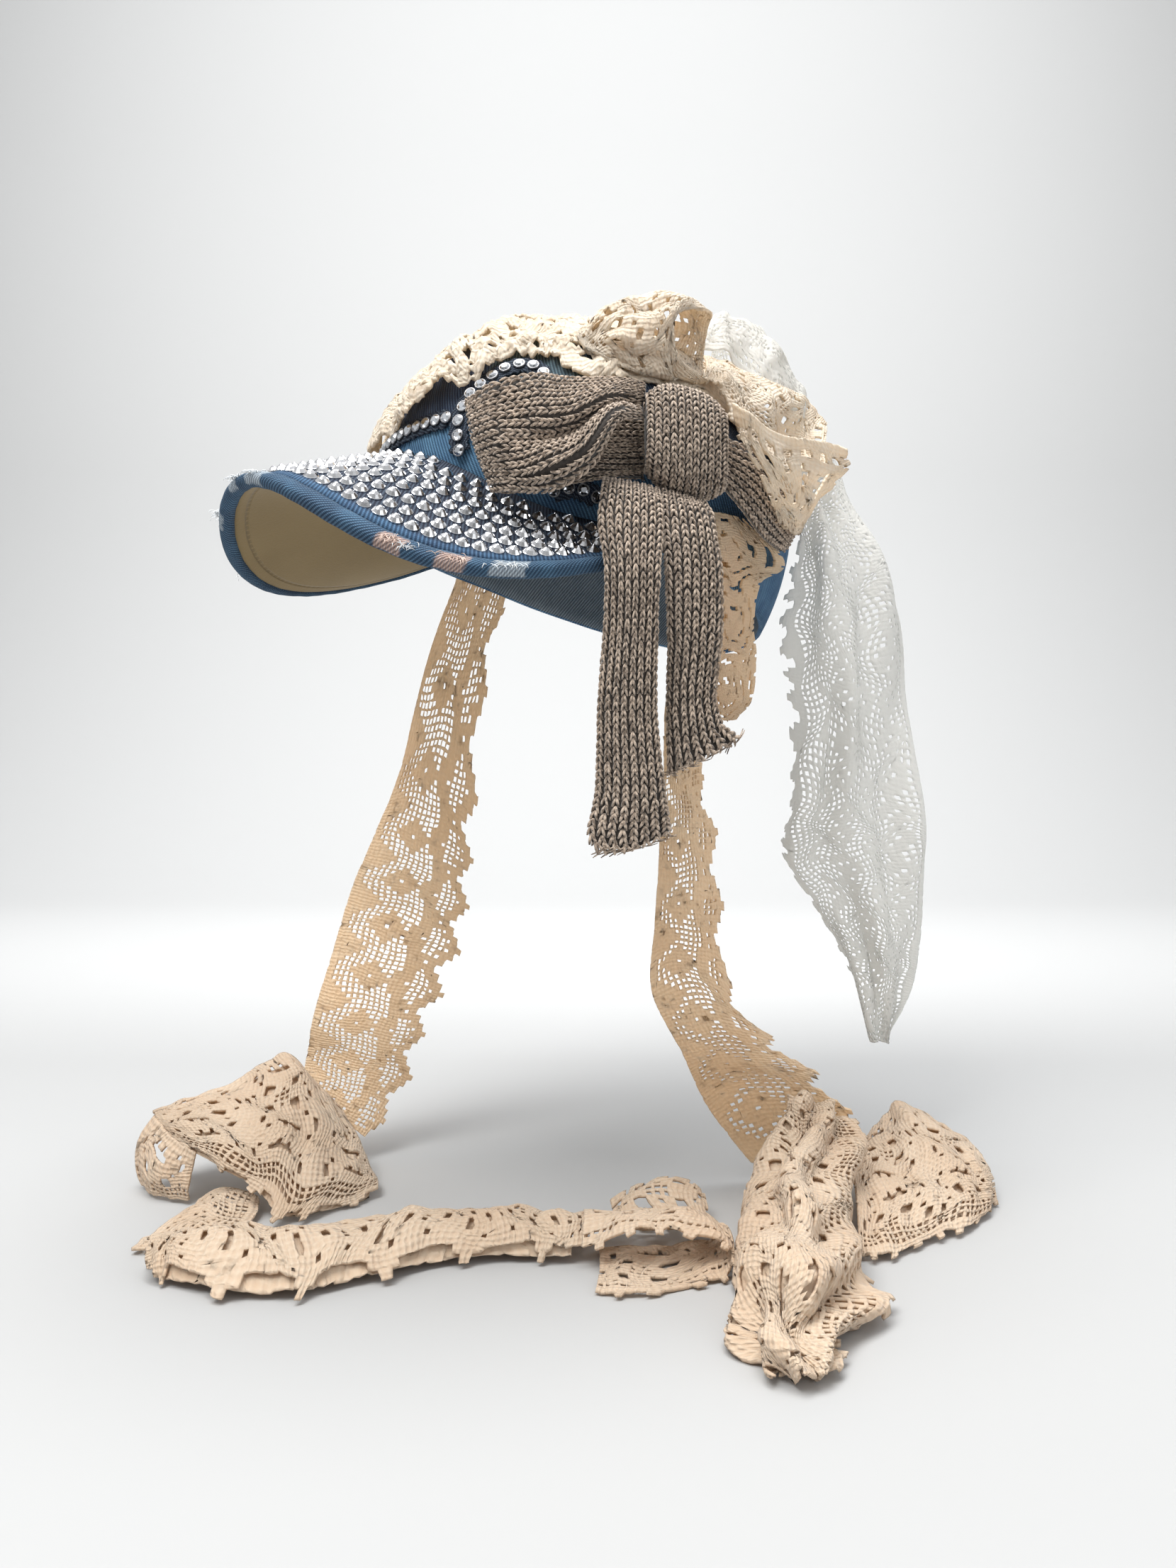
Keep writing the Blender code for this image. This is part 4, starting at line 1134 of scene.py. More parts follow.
def tube_faces(sides, rings, start=0):
    """Faces of a thin tube, ring after ring, with a cap at both ends."""
    walls = [tuple(start + c for c in face[::-1]) for face in grid_faces(sides, rings - 1, True)]
    first, last = range(start, start + sides), start + (rings - 1) * sides
    return walls + [tuple(first), tuple(last + i for i in reversed(range(sides)))]


def finish_pieces(*pieces):
    """Remove the small shapes once they've been copied."""
    for piece in pieces:
        bpy.data.meshes.remove(piece.data)


print("tree", COPIES.name, "with", len(COPIES.nodes), "nodes")

# %% [markdown]
# ## The crown
#
# The crown is a soft dome cut from six panels of denim. Its lower edge arches over the brow and
# drops to the nape. Here it is one surface with the slight puckers that washed denim keeps, and
# Solidify gives it a wall of 2 mm, blue outside and paler inside. Its map stores how far round
# and how far up each point is, and the denim finish reads that to lay out twill and panels.

# %% The dome
RimRow = namedtuple("RimRow", "angle height")
RIM = [RimRow(*row) for row in (
    (0, 0.0), (15, -3.4), (30, -11.2), (45, -18.1),
    (60, -20.6), (90, -24.0), (135, -35.0), (180, -42.0),
)]
RIM_BELOW_SEAM = 4.5
RIM_EASE = radians(6.0)
CROWN_WALL = 2.0
ROUND_MM = 90.0


def rim_height(angle):
    """Height of the seam at angles in radians round from the front, corners eased."""
    angles, heights = zip(*RIM)
    near = [np.abs(np.abs(angle) + k * RIM_EASE) for k in (-1, 0, 1)]
    return sum(np.interp(np.degrees(a), angles, heights) for a in near) / len(near)


def crown_place(angle, height, lift=0.0):
    """Places on the crown's outer face, at angles from the front and heights."""
    given = (np.asarray(a, float) for a in (angle, height, lift))
    angle, height, lift = np.broadcast_arrays(*given)
    tall = crown_tall(height)
    shrink = np.sqrt(np.maximum(1.0 - (height / tall) ** 2, 0.0))
    forward = CROWN_HALF_LENGTH * np.cos(angle) * shrink
    left = CROWN_HALF_WIDTH * np.sin(angle) * shrink
    slopes = (forward / CROWN_HALF_LENGTH**2, left / CROWN_HALF_WIDTH**2, height / tall**2)
    out = unit(np.stack(slopes, 1))
    return from_cap(np.stack([forward, left, height], 1) + out * lift[:, None])


def dome(low_at, around, rings, lift_at):
    """Rings of places from a lower edge to the top, and the map of each."""
    angle, climb = crossings(2 * pi * np.arange(around) / around - pi, np.arange(rings) / rings)
    low = low_at(angle)
    start = np.arcsin(low / crown_tall(low))
    bend = start + (pi / 2 - start) * climb
    height = crown_tall(bend) * np.sin(bend)
    places = crown_place(angle, height, lift_at(angle, climb))
    top = crown_place([0.0], [CROWN_HEIGHT - 1e-4], lift_at(np.zeros(1), np.ones(1)))
    flat = np.stack([angle * ROUND_MM, height], 1)
    return np.vstack([places, top]), np.vstack([flat, [[0.0, CROWN_HEIGHT]]])


def dome_faces(around, rings):
    """Faces of those rings, with a fan at the top."""
    faces = grid_faces(around, rings - 1, closed=True)
    last = (rings - 1) * around
    return faces + [(last + i, last + (i + 1) % around, rings * around) for i in range(around)]


def puckers(angle, climb):
    """Slight hollows and swells in the denim, fading towards the top."""
    swell = np.sin(9 * angle + 2 * np.sin(7 * climb)) * np.sin(11 * climb + 2 * np.sin(3 * angle))
    return -0.25 + 0.25 * swell * (1 - climb)


CROWN_GRID = (168, 40)
places, flat = dome(lambda a: rim_height(a) - RIM_BELOW_SEAM, *CROWN_GRID, puckers)
crown = add_object("denim_crown", places, dome_faces(*CROWN_GRID), CROWN_DENIM)
crown.data.materials.append(DENIM_INSIDE)
put_map(crown, flat)
thicken(crown, CROWN_WALL, -1.0)
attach(crown, "root")
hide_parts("crown")
print("crown", triangles(crown), "triangles")

# %% [markdown]
# ## The peak
#
# The peak is a stiff board in denim, lined with felt and bound with a rolled strip. Its upper
# face falls forward and bends down at the sides. Each line across it runs from the seam to the
# outer edge, so a point is given by how far round it is and how far in from the edge.

# %% The peak's shape
BROW_SAG, BROW_EASE, SAG_REACH = 82.0, 31.0, 85.0
PEAK_SLOPE = radians(23.0)
PEAK_REACH, PEAK_ROOT = 132.0, 34.0
PEAK_HALF_WIDTH, PEAK_ROUND = 96.5, 2.1
PEAK_ROOT_ANGLE = radians(78.0)
SEAM_GAP = 0.7
BOW_END, BOW_TURN = 0.8, radians(74.0)
ROOT_LEAVE, ROOT_ARRIVE = np.array([-58.0, 7.0]), np.array([-38.0, -30.0])


def above_peak(plan, rise):
    """Places in metres, this far off the peak's upper face, and its normals there."""
    forward, left = np.asarray(plan, float).T
    bend = left / SAG_REACH
    fall = tan(PEAK_SLOPE) * (forward - CROWN_HALF_LENGTH)
    drop = -BROW_SAG * bend**2 + BROW_EASE * bend**4 - fall
    slope = (-2 * BROW_SAG * bend + 4 * BROW_EASE * bend**3) / SAG_REACH
    out = unit(np.stack([np.full(len(left), tan(PEAK_SLOPE)), -slope, np.ones(len(left))], 1))
    rise = np.broadcast_to(np.asarray(rise, float), len(left))
    return from_cap(np.stack([forward, left, drop], 1) + out * rise[:, None]), out @ CAP_TURN


def seam_plan(s):
    """Forward and left of the seam between peak and crown, s from -1 to 1."""
    angle = np.asarray(s) * PEAK_ROOT_ANGLE
    long, wide = CROWN_HALF_LENGTH + SEAM_GAP, CROWN_HALF_WIDTH + SEAM_GAP
    return np.stack([long * np.cos(angle), wide * np.sin(angle)], 1)


def front_bow(turn):
    """Forward and left on the wide front curve, a squarish oval."""
    left = PEAK_HALF_WIDTH * np.sin(turn) ** (2 / PEAK_ROUND)
    return np.stack([PEAK_ROOT + PEAK_REACH * np.cos(turn) ** (2 / PEAK_ROUND), left], 1)


def edge_plan(s):
    """Forward and left of the peak's outer edge, s from -1 to 1: the bow, then its two roots."""
    s = np.asarray(s, float)
    size = np.abs(s)
    front = front_bow(np.minimum(size / BOW_END, 1.0) * BOW_TURN)
    start, end = front_bow(np.array([BOW_TURN]))[0], seam_plan([1.0])[0]
    t = (np.maximum(size - BOW_END, 0.0) / (1 - BOW_END))[:, None]
    root = eased(t, start, ROOT_LEAVE, end, ROOT_ARRIVE)
    plan = np.where((size <= BOW_END)[:, None], front, root)
    plan[:, 1] *= np.where(s >= 0, 1.0, -1.0)
    return plan


def peak_width(s):
    """Distance from seam to edge."""
    return np.linalg.norm(edge_plan(s) - seam_plan(s), axis=1)


def peak_plan(s, from_edge):
    """Forward and left of places this far in from the edge."""
    edge = edge_plan(s)
    inward = (seam_plan(s) - edge) / np.maximum(peak_width(s), 1e-6)[:, None]
    return edge + inward * np.asarray(from_edge, float)[:, None]


print("peak", round(float(peak_width(np.zeros(1))[0])), "mm at the middle")

# %% [markdown]
# The board carries the studs and stops under the rolled edging. The felt lining below it shows
# almost to the edge. Both are the same sheet of lines from seam to edge, one below the other.

# %% The board and its lining
BOARD_THICK, LINING_THICK = 2.6, 0.9
EDGING_WIDE, EDGING_SHARE = 7.0, 0.6
BOARD_GRID, BOARD_END = (18, 120), 0.965
UNDER_EDGING = 0.4


def edging_width(s):
    """Width of the rolled edging, which narrows at the roots."""
    return np.minimum(EDGING_WIDE, EDGING_SHARE * peak_width(s))


def peak_layer(name, node, drop, thickness, finish, seam_inset, edging_share=1.0):
    """The board or the lining, inside the edging."""
    across, along = BOARD_GRID
    line = BOARD_END * np.linspace(-1, 1, along + 1)
    share, s = crossings(np.linspace(0, 1, across + 1), line)
    inner, outer = peak_width(s) - seam_inset, edging_width(s) * edging_share + UNDER_EDGING
    from_edge = inner + (outer - inner) * share
    places, _ = above_peak(peak_plan(s, from_edge), -drop)
    obj = add_object(name, places, grid_faces(across, along), finish)
    put_map(obj, np.stack([np.repeat(run_length(edge_plan(line)), across + 1), from_edge], 1))
    thicken(obj, thickness, -1.0)
    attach(obj, "root")
    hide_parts(node)
    print(name, triangles(obj), "triangles")


peak_layer("denim_peak", "peak_board", 0.0, BOARD_THICK, PEAK_DENIM, seam_inset=0.3)
peak_layer(
    "felt_lining", "peak_lining", BOARD_THICK + 0.1, LINING_THICK, felt.material,
    seam_inset=1.8, edging_share=0.45,
)

# %% [markdown]
# The edging is a strip of denim folded over the board's edge. Its section is a soft C,
# swept along the edge. The denim there has been sanded, and on a few bald patches only the cross
# threads are left: salmon on some, nearly white on the others. A patch is a soft spot in the
# finish, measured in millimetres along the edge.

# %% The rolled edging
EDGING_STEPS, EDGING_END = 220, 0.975
edging_s = EDGING_END * np.linspace(-1, 1, EDGING_STEPS + 1)
PROFILE = (
    (1.0, -0.10), (0.8, -0.55), (0.5, -0.85), (0.22, -0.75), (0.06, -0.10),
    (0.0, 1.30), (0.03, 2.60), (0.12, 3.80), (0.28, 4.55), (0.50, 4.50), (0.62, 4.05),
)
around = run_length(edge_plan(edging_s))
sides = len(PROFILE)
edging_wide = edging_width(edging_s) - 0.1
wander = 0.12 * np.sin(around * 0.55) * np.sin(around * 0.173 + 1.0)
edging_places = np.empty((EDGING_STEPS + 1, sides, 3))
edging_flat = np.empty((EDGING_STEPS + 1, sides, 2))
for k, (inward, drop) in enumerate(PROFILE):
    plan = peak_plan(edging_s, edging_wide * inward)
    edging_places[:, k], _ = above_peak(plan, -(drop + wander))
    edging_flat[:, k] = np.stack([around, np.full(len(around), 1.6 * k)], 1)
faces = grid_faces(sides, EDGING_STEPS, closed=True)
faces.append(tuple(range(sides)))
faces.append(tuple(EDGING_STEPS * sides + i for i in reversed(range(sides))))
Patch = namedtuple("Patch", "s reach tint")
SALMON, BARE = (0.66, 0.44, 0.34), (0.55, 0.62, 0.68)
PATCHES = (
    Patch(-0.50, 5.0, BARE), Patch(-0.22, 4.5, BARE), Patch(-0.06, 3.5, BARE),
    Patch(0.04, 5.5, BARE), Patch(0.41, 4.6, SALMON), Patch(0.53, 5.2, SALMON),
    Patch(0.635, 6.0, BARE),
)
CROSS_THREAD = 0.9


def sanded(finish, along, across, base):
    """Bald patches along the edging, with their cross threads."""
    threads = (along * (2 * pi / CROSS_THREAD)).sine() * 0.5 + 0.5
    wobble = finish.noise(500.0, 2.0) * 3.0 - 1.5
    height = ((across - 6.0).size() + wobble).smooth(5.2, 3.4)
    for s, reach, tint in PATCHES:
        middle = float(np.interp(s, edging_s, around))
        near = ((along - middle).size() + wobble).smooth(reach + 0.8, reach - 0.8)
        base = finish.blend(near * height * (threads * 0.45 + 0.5), base, tint)
    return base


EDGING_DENIM = denim(
    "edging_denim", (0.009, 0.046, 0.105), (0.048, 0.140, 0.250), 60.0, 0.7, panels=sanded
)
edging = add_object("denim_edging", edging_places.reshape(-1, 3), faces, EDGING_DENIM)
put_map(edging, edging_flat.reshape(-1, 2))
face_out(edging)
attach(edging, "root")
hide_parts("peak_binding")
print("edging", round(float(around[-1])), "mm long,", triangles(edging), "triangles")

# %% [markdown]
# Where the edging has been sanded, broken threads stand out of it in small tufts. A tuft is 16 to
# 50 copies of one bent thread, thrown round a spot on the edge with unlike leans and lengths.

# %% Frayed threads
Tuft = namedtuple("Tuft", "s inward reach threads")
PALE_TUFTS = [
    Tuft(-0.05, 2, 6, 44), Tuft(0.03, 2, 5, 36), Tuft(-0.22, 2, 6, 48), Tuft(-0.50, 2, 7, 50),
    Tuft(-0.68, 2, 4, 16), Tuft(0.445, 2, 5, 22), Tuft(0.635, 2, 7, 26),
]
SALMON_TUFTS = [Tuft(0.41, 3, 6, 26), Tuft(0.53, 3, 6, 26), Tuft(-0.46, 3, 5, 20)]
THREAD_LONG, THREAD_THICK = 3.6, 0.21


def bent_thread(rings=5, sides=3):
    """One thread, a unit long, that rises and bends over."""
    vertices = []
    radius = THREAD_THICK / THREAD_LONG
    for k in range(rings):
        t = k / (rings - 1)
        centre = np.array([0.06 * sin(5 * t), t * 0.95, 0.30 * sin(pi * t * 0.9)])
        for i in range(sides):
            turn = 2 * pi * i / sides
            vertices.append(centre + radius * (1 - 0.5 * t) * np.array([cos(turn), 0, sin(turn)]))
    return vertices, tube_faces(sides, rings)


def in_surface(ahead, out):
    """Unit directions like ahead, made square to out."""
    return unit(ahead - out * (ahead * out).sum(1)[:, None])


def frayed(name, tufts, finish, seed):
    """Threads thrown round each tuft's spot on the edging."""
    draw = np.random.default_rng(seed)
    s, inward = [], []
    for tuft in tufts:
        away = draw.normal(0, 0.45, (tuft.threads, 2)) * tuft.reach
        s += list(tuft.s + away[:, 0] / around[-1] * 1.95)
        inward += list(np.clip(tuft.inward + 0.35 * away[:, 1], 0.3, 6.5))
    s, inward = np.array(s), np.array(inward)
    place, out = above_peak(peak_plan(s, inward), 0.6)
    edge_way = np.cross(out, draw.normal(size=out.shape))
    outwards = above_peak(peak_plan(s, inward - 1), 0.6)[0] - place
    ahead = in_surface(unit(outwards) + 0.9 * edge_way, out)
    sizes = THREAD_LONG * MM * draw.uniform(0.5, 1.2, len(s))[:, None] * np.ones((1, 3))
    thread = pattern_piece("thread", *bent_thread())
    obj = set_copies(name, place, out, ahead, sizes, thread, finish)
    finish_pieces(thread)
    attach(obj, "root")
    print(name, len(s), "threads,", triangles(obj), "triangles")


frayed("pale_frays", PALE_TUFTS, PALE_FIBRE, 61)
frayed("salmon_frays", SALMON_TUFTS, SALMON_FIBRE, 62)

# %% [markdown]
# ## The cone studs
#
# A cone stud is turned metal: a thin foot, and a cone that catches one bright and one dark
# stripe. The rows follow the peak's edge, and every second row is shifted by half a pitch. A
# cone of twelve flat sides keeps the stripes crisp and costs few faces.

# %% The studs
STUD_PITCH, STUD_ROW = 6.0, 6.4
STUD_RADIUS, STUD_TALL = 2.75, 2.45
DENIM_BORDER, STUD_REACH = 12.0, 0.9


def stud_plan():
    """Forward and left of every stud."""
    fine = np.linspace(-STUD_REACH, STUD_REACH, 1441)
    widths = peak_width(fine)
    found = []
    for row in range(int((widths.max() - DENIM_BORDER) / STUD_ROW) + 1):
        inward = DENIM_BORDER + 1.5 + row * STUD_ROW
        room = fine[widths >= inward + 3.0]
        if len(room) < 2:
            continue
        line = peak_plan(room, np.full(len(room), inward))
        run = run_length(line)
        count = int(run[-1] / STUD_PITCH)
        start = (run[-1] - count * STUD_PITCH) / 2 + (row % 2) * STUD_PITCH / 2
        at = start + STUD_PITCH * np.arange(count + 1 - row % 2)
        found += list(zip(np.interp(at, run, line[:, 0]), np.interp(at, run, line[:, 1])))
    return np.array(found)


def turned(profile, sides):
    """A closed shape turned from radius and height pairs, first at the foot, last at the tip."""
    vertices = [c for radius, rise in profile[:-1] for c in ring_round(radius, rise, sides)]
    faces = grid_faces(sides, len(profile) - 2, closed=True)
    last, tip = (len(profile) - 2) * sides, len(vertices)
    faces += [(last + k, last + (k + 1) % sides, tip) for k in range(sides)]
    faces.append(tuple(reversed(range(sides))))
    return vertices + [(0.0, 0.0, profile[-1][1])], faces


CONE = ((1.0, 0.0), (1.0, 0.12), (0.92, 0.20), (0.60, 0.62), (0.18, 0.95), (0.0, 1.0))
cone_profile = [(r, z * STUD_TALL / STUD_RADIUS) for r, z in CONE]
cone = pattern_piece("cone", *turned(cone_profile, 12), smooth=False)
plan = stud_plan()
stud_places, stud_outs = above_peak(plan, 0.05)
draw = np.random.default_rng(3)
heading = unit(np.cross(stud_outs, np.array([0.3, 1.0, 0.1])))
side = np.cross(stud_outs, heading)
spin = draw.uniform(0, 2 * pi, len(plan))[:, None]
ahead = heading * np.cos(spin) + side * np.sin(spin)
lean = unit(stud_outs + 0.025 * draw.normal(size=stud_outs.shape))
sizes = STUD_RADIUS * MM * draw.normal(1.0, 0.03, len(plan))[:, None] * np.ones((1, 3))
studs = set_copies("silver_studs", stud_places, lean, ahead, sizes, cone, silver.material)
finish_pieces(cone)
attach(studs, "root")
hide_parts("peak_studs")
print("studs", len(plan), "cones,", triangles(studs), "triangles")

# %% [markdown]
# ## The stone chains
#
# Cut stones in small metal cups follow the seams of the crown. A stone has a flat table on top
# and slanted facets round it, and flat faces, not smooth ones, make it sparkle. The cups sit on
# narrow navy strips with a worn edge.

# %% Strips, cups and stones
Stop = namedtuple("Stop", "angle height")
CHAINS = {
    "stone_chain_front": [Stop(-30, 0), Stop(-15, 5), Stop(0, 8.5), Stop(15, 12)],
    "stone_chain_upright": [Stop(20, 22), Stop(19, 12), Stop(21, -1)],
    "stone_chain_upper": [Stop(22, 26), Stop(27, 34), Stop(33, 36.5), Stop(38, 33)],
    "stone_chain_side": [Stop(46, -12.5), Stop(51, -10), Stop(56, -12)],
}
STONE_RADIUS, STONE_PITCH = 2.1, 4.9
STRIP_WIDTH, STRIP_THICK, STRIP_STEP = 8.0, 0.7, 1.2
STRIP_LIFT, STONE_LIFT = 0.75, 1.05


def chain_line(stops, count=161):
    """A chain's length, and a function from millimetres along it to places off the crown."""
    points = smooth_between(stops, np.linspace(0, 1, count))
    angle, height = np.radians(points[:, 0]), points[:, 1]
    run = run_length(crown_place(angle, height) / MM)

    def place_at(at, lift=0.0):
        return crown_place(np.interp(at, run, angle), np.interp(at, run, height), lift)

    return run[-1], place_at


def strip_surface(stops):
    """A narrow strip of cloth under a chain, with a wavering edge."""
    long, place_at = chain_line(stops)

    def surface(u, v):
        at = np.asarray(v) * long
        place = place_at(at, STRIP_LIFT)
        out = (place_at(at, STRIP_LIFT + 1) - place) / MM
        side = np.cross(out, unit(place_at(at + 1) - place_at(at - 1)))
        half = STRIP_WIDTH / 2 + 0.5 * np.sin(at * 1.7) + 0.3 * np.sin(at * 3.1 + 1)
        offset = (2 * np.asarray(u) - 1) * half
        return lifted(place + side * (offset * MM)[:, None], STRIP_LIFT)

    return surface


def stone_marks(stops):
    """Where each stone of a chain sits, which way it faces, and its chain's direction."""
    long, place_at = chain_line(stops)
    at = np.linspace(0, long, max(int(long / STONE_PITCH), 1) + 1)
    place = place_at(at, STONE_LIFT)
    out = (place_at(at, STONE_LIFT + 1) - place) / MM
    return place, out, in_surface(np.gradient(place, axis=0), out)


def cut_stone(sides=8):
    """Table, slanted facets, a girdle and a short pavilion inside the cup."""
    rings = ((0.5, 0.1, 0.0), (1.0, 0.42, 0.5), (1.0, 0.5, 0.5), (0.55, 0.86, 0.0))
    vertices = [corner for radius, rise, shift in rings
                for corner in ring_round(radius, rise, sides, shift)]
    faces = [tuple(reversed(range(sides))), tuple(3 * sides + k for k in range(sides))]
    for k in range(sides):
        (a, a2), (b, b2), (c, c2), (d, d2) = (
            (level * sides + k, level * sides + (k + 1) % sides) for level in range(4)
        )
        faces += [(a, a2, b), (b, a2, b2), (b, b2, c2, c), (c, c2, d2), (c, d2, d)]
    return vertices, faces


CUP = ((1.02, 0.0), (1.16, 0.1), (1.16, 0.50), (1.04, 0.56), (0.9, 0.50), (0.0, 0.3))
stone = pattern_piece("stone", *cut_stone(), smooth=False)
cup = pattern_piece("cup", *turned(CUP, 12))
marks = [np.vstack(part) for part in zip(*(stone_marks(stops) for stops in CHAINS.values()))]
stones = set_copies("cut_stones", *marks, [STONE_RADIUS * MM] * 3, stone, crystal.material)
cups = set_copies("stone_cups", *marks, [STONE_RADIUS * MM] * 3, cup, setting.material)
finish_pieces(stone, cup)
for obj in (stones, cups):
    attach(obj, "root")
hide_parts(*CHAINS)
for name, stops in CHAINS.items():
    across, along = 6, int(chain_line(stops)[0] / STRIP_STEP)
    u, v = crossings(np.linspace(0, 1, across + 1), np.linspace(0, 1, along + 1))
    strip_name, places = name.replace("stone_chain", "navy_strip"), strip_surface(stops)(u, v)
    obj = add_object(strip_name, places, grid_faces(across, along), NAVY_STRIP)
    put_map(obj, np.stack([u * STRIP_WIDTH, v * along * STRIP_STEP], 1))
    thicken(obj, STRIP_THICK)
    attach(obj, "root")
stone_triangles = triangles(stones) + triangles(cups)
print(len(marks[0]), "stones in", len(CHAINS), "chains,", stone_triangles, "triangles")

# %% [markdown]
# ## Knitting that can be counted
#
# Stocking stitch is columns of V shaped loops, and each leg of a V is a fat strand that rises out
# of the row below. Here a core band gives the cloth its body, painted near black as the shade that
# falls between the stitches. On both of its faces stands one pair of legs for each stitch, so the
# ribs and the bumpy outline are real, and the dark ladders between them are that painted shade on
# the core. Columns are 3 mm apart and rows 2.6 mm, as in a hand knit of middle weight.
# Rows are counted by the length run along the strip, so that they stay even where it bends. One
# more row, laid crosswise, closes the end as a cast-off edge does.

# %% One stitch, and a band of them
COLUMN, ROW = 3.0, 2.6


def stitch_legs(sides=4, rings=5):
    """Both legs of one V, one column wide and one row tall."""
    vertices, faces = [], []
    for mirror in (1, -1):
        faces += tube_faces(sides, rings, len(vertices))
        for k in range(rings):
            t = k / (rings - 1)
            across, up = mirror * (0.03 + 0.36 * t), -0.30 + 1.40 * t
            centre = np.array([across, up, 0.04 + 0.26 * sin(pi * t)])
            radius = 0.065 + 0.115 * sin(pi * (0.10 + 0.80 * t))
            for i in range(sides):
                turn = 2 * pi * i / sides
                vertices.append(centre + radius * np.array([cos(turn), 0.0, 0.9 * sin(turn)]))
    return vertices, faces


STITCH = pattern_piece("stitch", *stitch_legs())


def stitches_on(surface, columns, rows, side, half_thick, seed):
    """Where each stitch of one face sits, which way it faces, and its size."""
    draw = np.random.default_rng(seed)
    u, v = crossings((np.arange(columns) + 0.5) / columns, (np.arange(rows) + 0.5) / rows)
    u = np.clip(u + draw.normal(0, 0.03 / columns, len(u)), 0, 1)
    v = np.clip(v + draw.normal(0, 0.08 / rows, len(v)), 0, 1)
    place, normal, along = frame_on(surface, u, v)
    out = normal * side
    sizes = (np.linalg.norm(s, axis=1) for s in spans(surface, u, v, 0.5 / columns, 0.5 / rows))
    wide, tall = (np.clip(a, 0.6 * np.median(a), 1.6 * np.median(a)) for a in sizes)
    scale = np.stack([wide, tall, 0.5 * (wide + tall)], 1)
    return place + out * half_thick * MM, out, along, scale


def cast_off(place, out, along, scale, columns):
    """The same stitches with one more row, laid crosswise, that closes the last edge."""
    last = slice(-columns, None)
    rim = place[last] + along[last] * (0.85 * scale[last, 1])[:, None]
    crosswise = np.cross(out[last], along[last])
    return (
        np.vstack([place, rim]), np.vstack([out, out[last]]), np.vstack([along, crosswise]),
        np.vstack([scale, scale[last][:, [1, 0, 2]] * (0.5, 1, 1)]),
    )


def core_band(name, surface, columns, rows, thickness):
    """The body of the knitting under its stitches, in near black yarn as painted shade."""
    across, along = columns, 2 * rows
    u, v = crossings(np.linspace(0.02, 0.98, across + 1), np.linspace(0, 1, along + 1))
    obj = add_object(name, surface(u, v), grid_faces(across, along), WOOL_CORE_SHADE)
    return thicken(obj, thickness)


def evenly(surface, steps=160):
    """The same cloth, with v counted by the length run along its middle."""
    fine = np.linspace(0, 1, steps + 1)
    run = run_length(surface(np.full(steps + 1, 0.5), fine))
    return lambda u, v: surface(u, np.interp(v, run / run[-1], fine))


def knitted(node, drawn, thickness=2.2, seed=1):
    """A knitted strip: its core and the stitches on both faces, attached in place of its solid."""
    surface = evenly(drawn)
    width, length = flat_size(surface)
    columns, rows = round(width / MM / COLUMN), round(length / MM / ROW)
    core = core_band(node + "_core", surface, columns, rows, thickness)
    marks = [
        cast_off(*stitches_on(surface, columns, rows, side, thickness / 2, seed + side), columns)
        for side in (1, -1)
    ]
    place, out, along, scale = (np.vstack([m[k] for m in marks]) for k in range(4))
    stitches = set_copies(node + "_stitches", place, out, along, scale, STITCH, WOOL)
    for obj in (core, stitches):
        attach(obj, "root")
    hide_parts(node)
    print(f"{node}: {columns} columns by {rows} rows, {width / MM:.0f} by {length / MM:.0f} mm,",
          triangles(core) + triangles(stitches), "triangles")


# %% [markdown]
# ### The bow
#
# A bow like this is one knitted strip folded into two loops and two tails, with a narrower strip
# wound round its middle. The front loop is flat and wide, and its lower edge rolls up near the
# knot. The tails hang down beside the ear. Each table row is one cross section of the strip.

# %% The bow's loops and tails
TAIL_LONG = sections(
    (3, 99.5, -8.5, 14, 99, -10, 24, 97, -12),
    (2.5, 111, -16, 13.5, 112, -17.5, 24, 107, -19.5),
    (2, 114.5, -28, 13, 118, -29, 24, 112, -29),
    (4, 119, -44, 13, 121, -44, 23, 116, -43),
    (4, 115, -63, 13, 119, -64, 22, 115, -63),
    (2, 112, -94, 12, 116, -94, 22, 112, -94),
    (1, 110, -122, 13, 115, -122, 25, 111, -122),
    (-2, 112, -137, 12, 114, -138, 27, 110, -134),
    (0, 113, -143, 13, 113, -143, 27, 110, -137),
)
TAIL_SHORT = sections(
    (24.3, 97, -11.5, 33, 95, -14, 41, 91, -14.5),
    (24.1, 106, -19.5, 34, 104, -20, 43, 97, -20.5),
    (24.0, 110, -29, 35, 108, -29, 44, 100, -29),
    (25.0, 111, -42, 36, 110, -43, 46, 102, -42),
    (27, 107, -68, 36, 109, -68, 46, 102, -67),
    (27, 104, -88, 35, 107, -88, 44, 101, -87),
    (27, 104, -103, 36, 106, -102, 47, 100, -98),
    (27, 104, -116, 38, 104, -111, 54, 98, -103),
)
LOOP_FRONT = sections(
    (19, 95, 28, 18, 98, 20, 18, 99, 14),
    (9, 100, 28, 6, 110, 17, 8, 111, 9),
    (-7, 104, 27, -8, 117, 6, -1, 114, -7),
    (-19, 107, 27, -22, 121, 2, -17, 117, -17),
    (-36, 107, 23, -35, 118, 1, -29, 116, -17),
    (-46, 101, 21, -41, 108, 2, -35, 111, -15.5),
    (-36, 95, 27, -35, 99, 5, -29, 103, -13),
    (-20, 94, 30, -19, 99, 7, -18, 99, -12),
    (-2, 91, 30, -1, 96, 6, 1, 97, -7),
    (18, 84, 26, 18, 89, 8, 18, 91, -5),
)
LOOP_BACK = sections(
    (49, 80, 13, 49, 83, 3, 48.6, 82, -5),
    (66, 66, 10, 62, 72, -2, 59, 71, -13),
    (76, 50, 2, 73, 58, -10, 69, 58, -21),
    (87, 29, -7, 84, 33, -15, 79, 40, -22),
    (79, 38, 3, 74, 46, -7, 69, 50, -17),
    (67, 56, 12, 62, 61, 0, 59, 64, -10),
    (53, 70, 15, 52, 72, 5, 51, 74, -3),
)
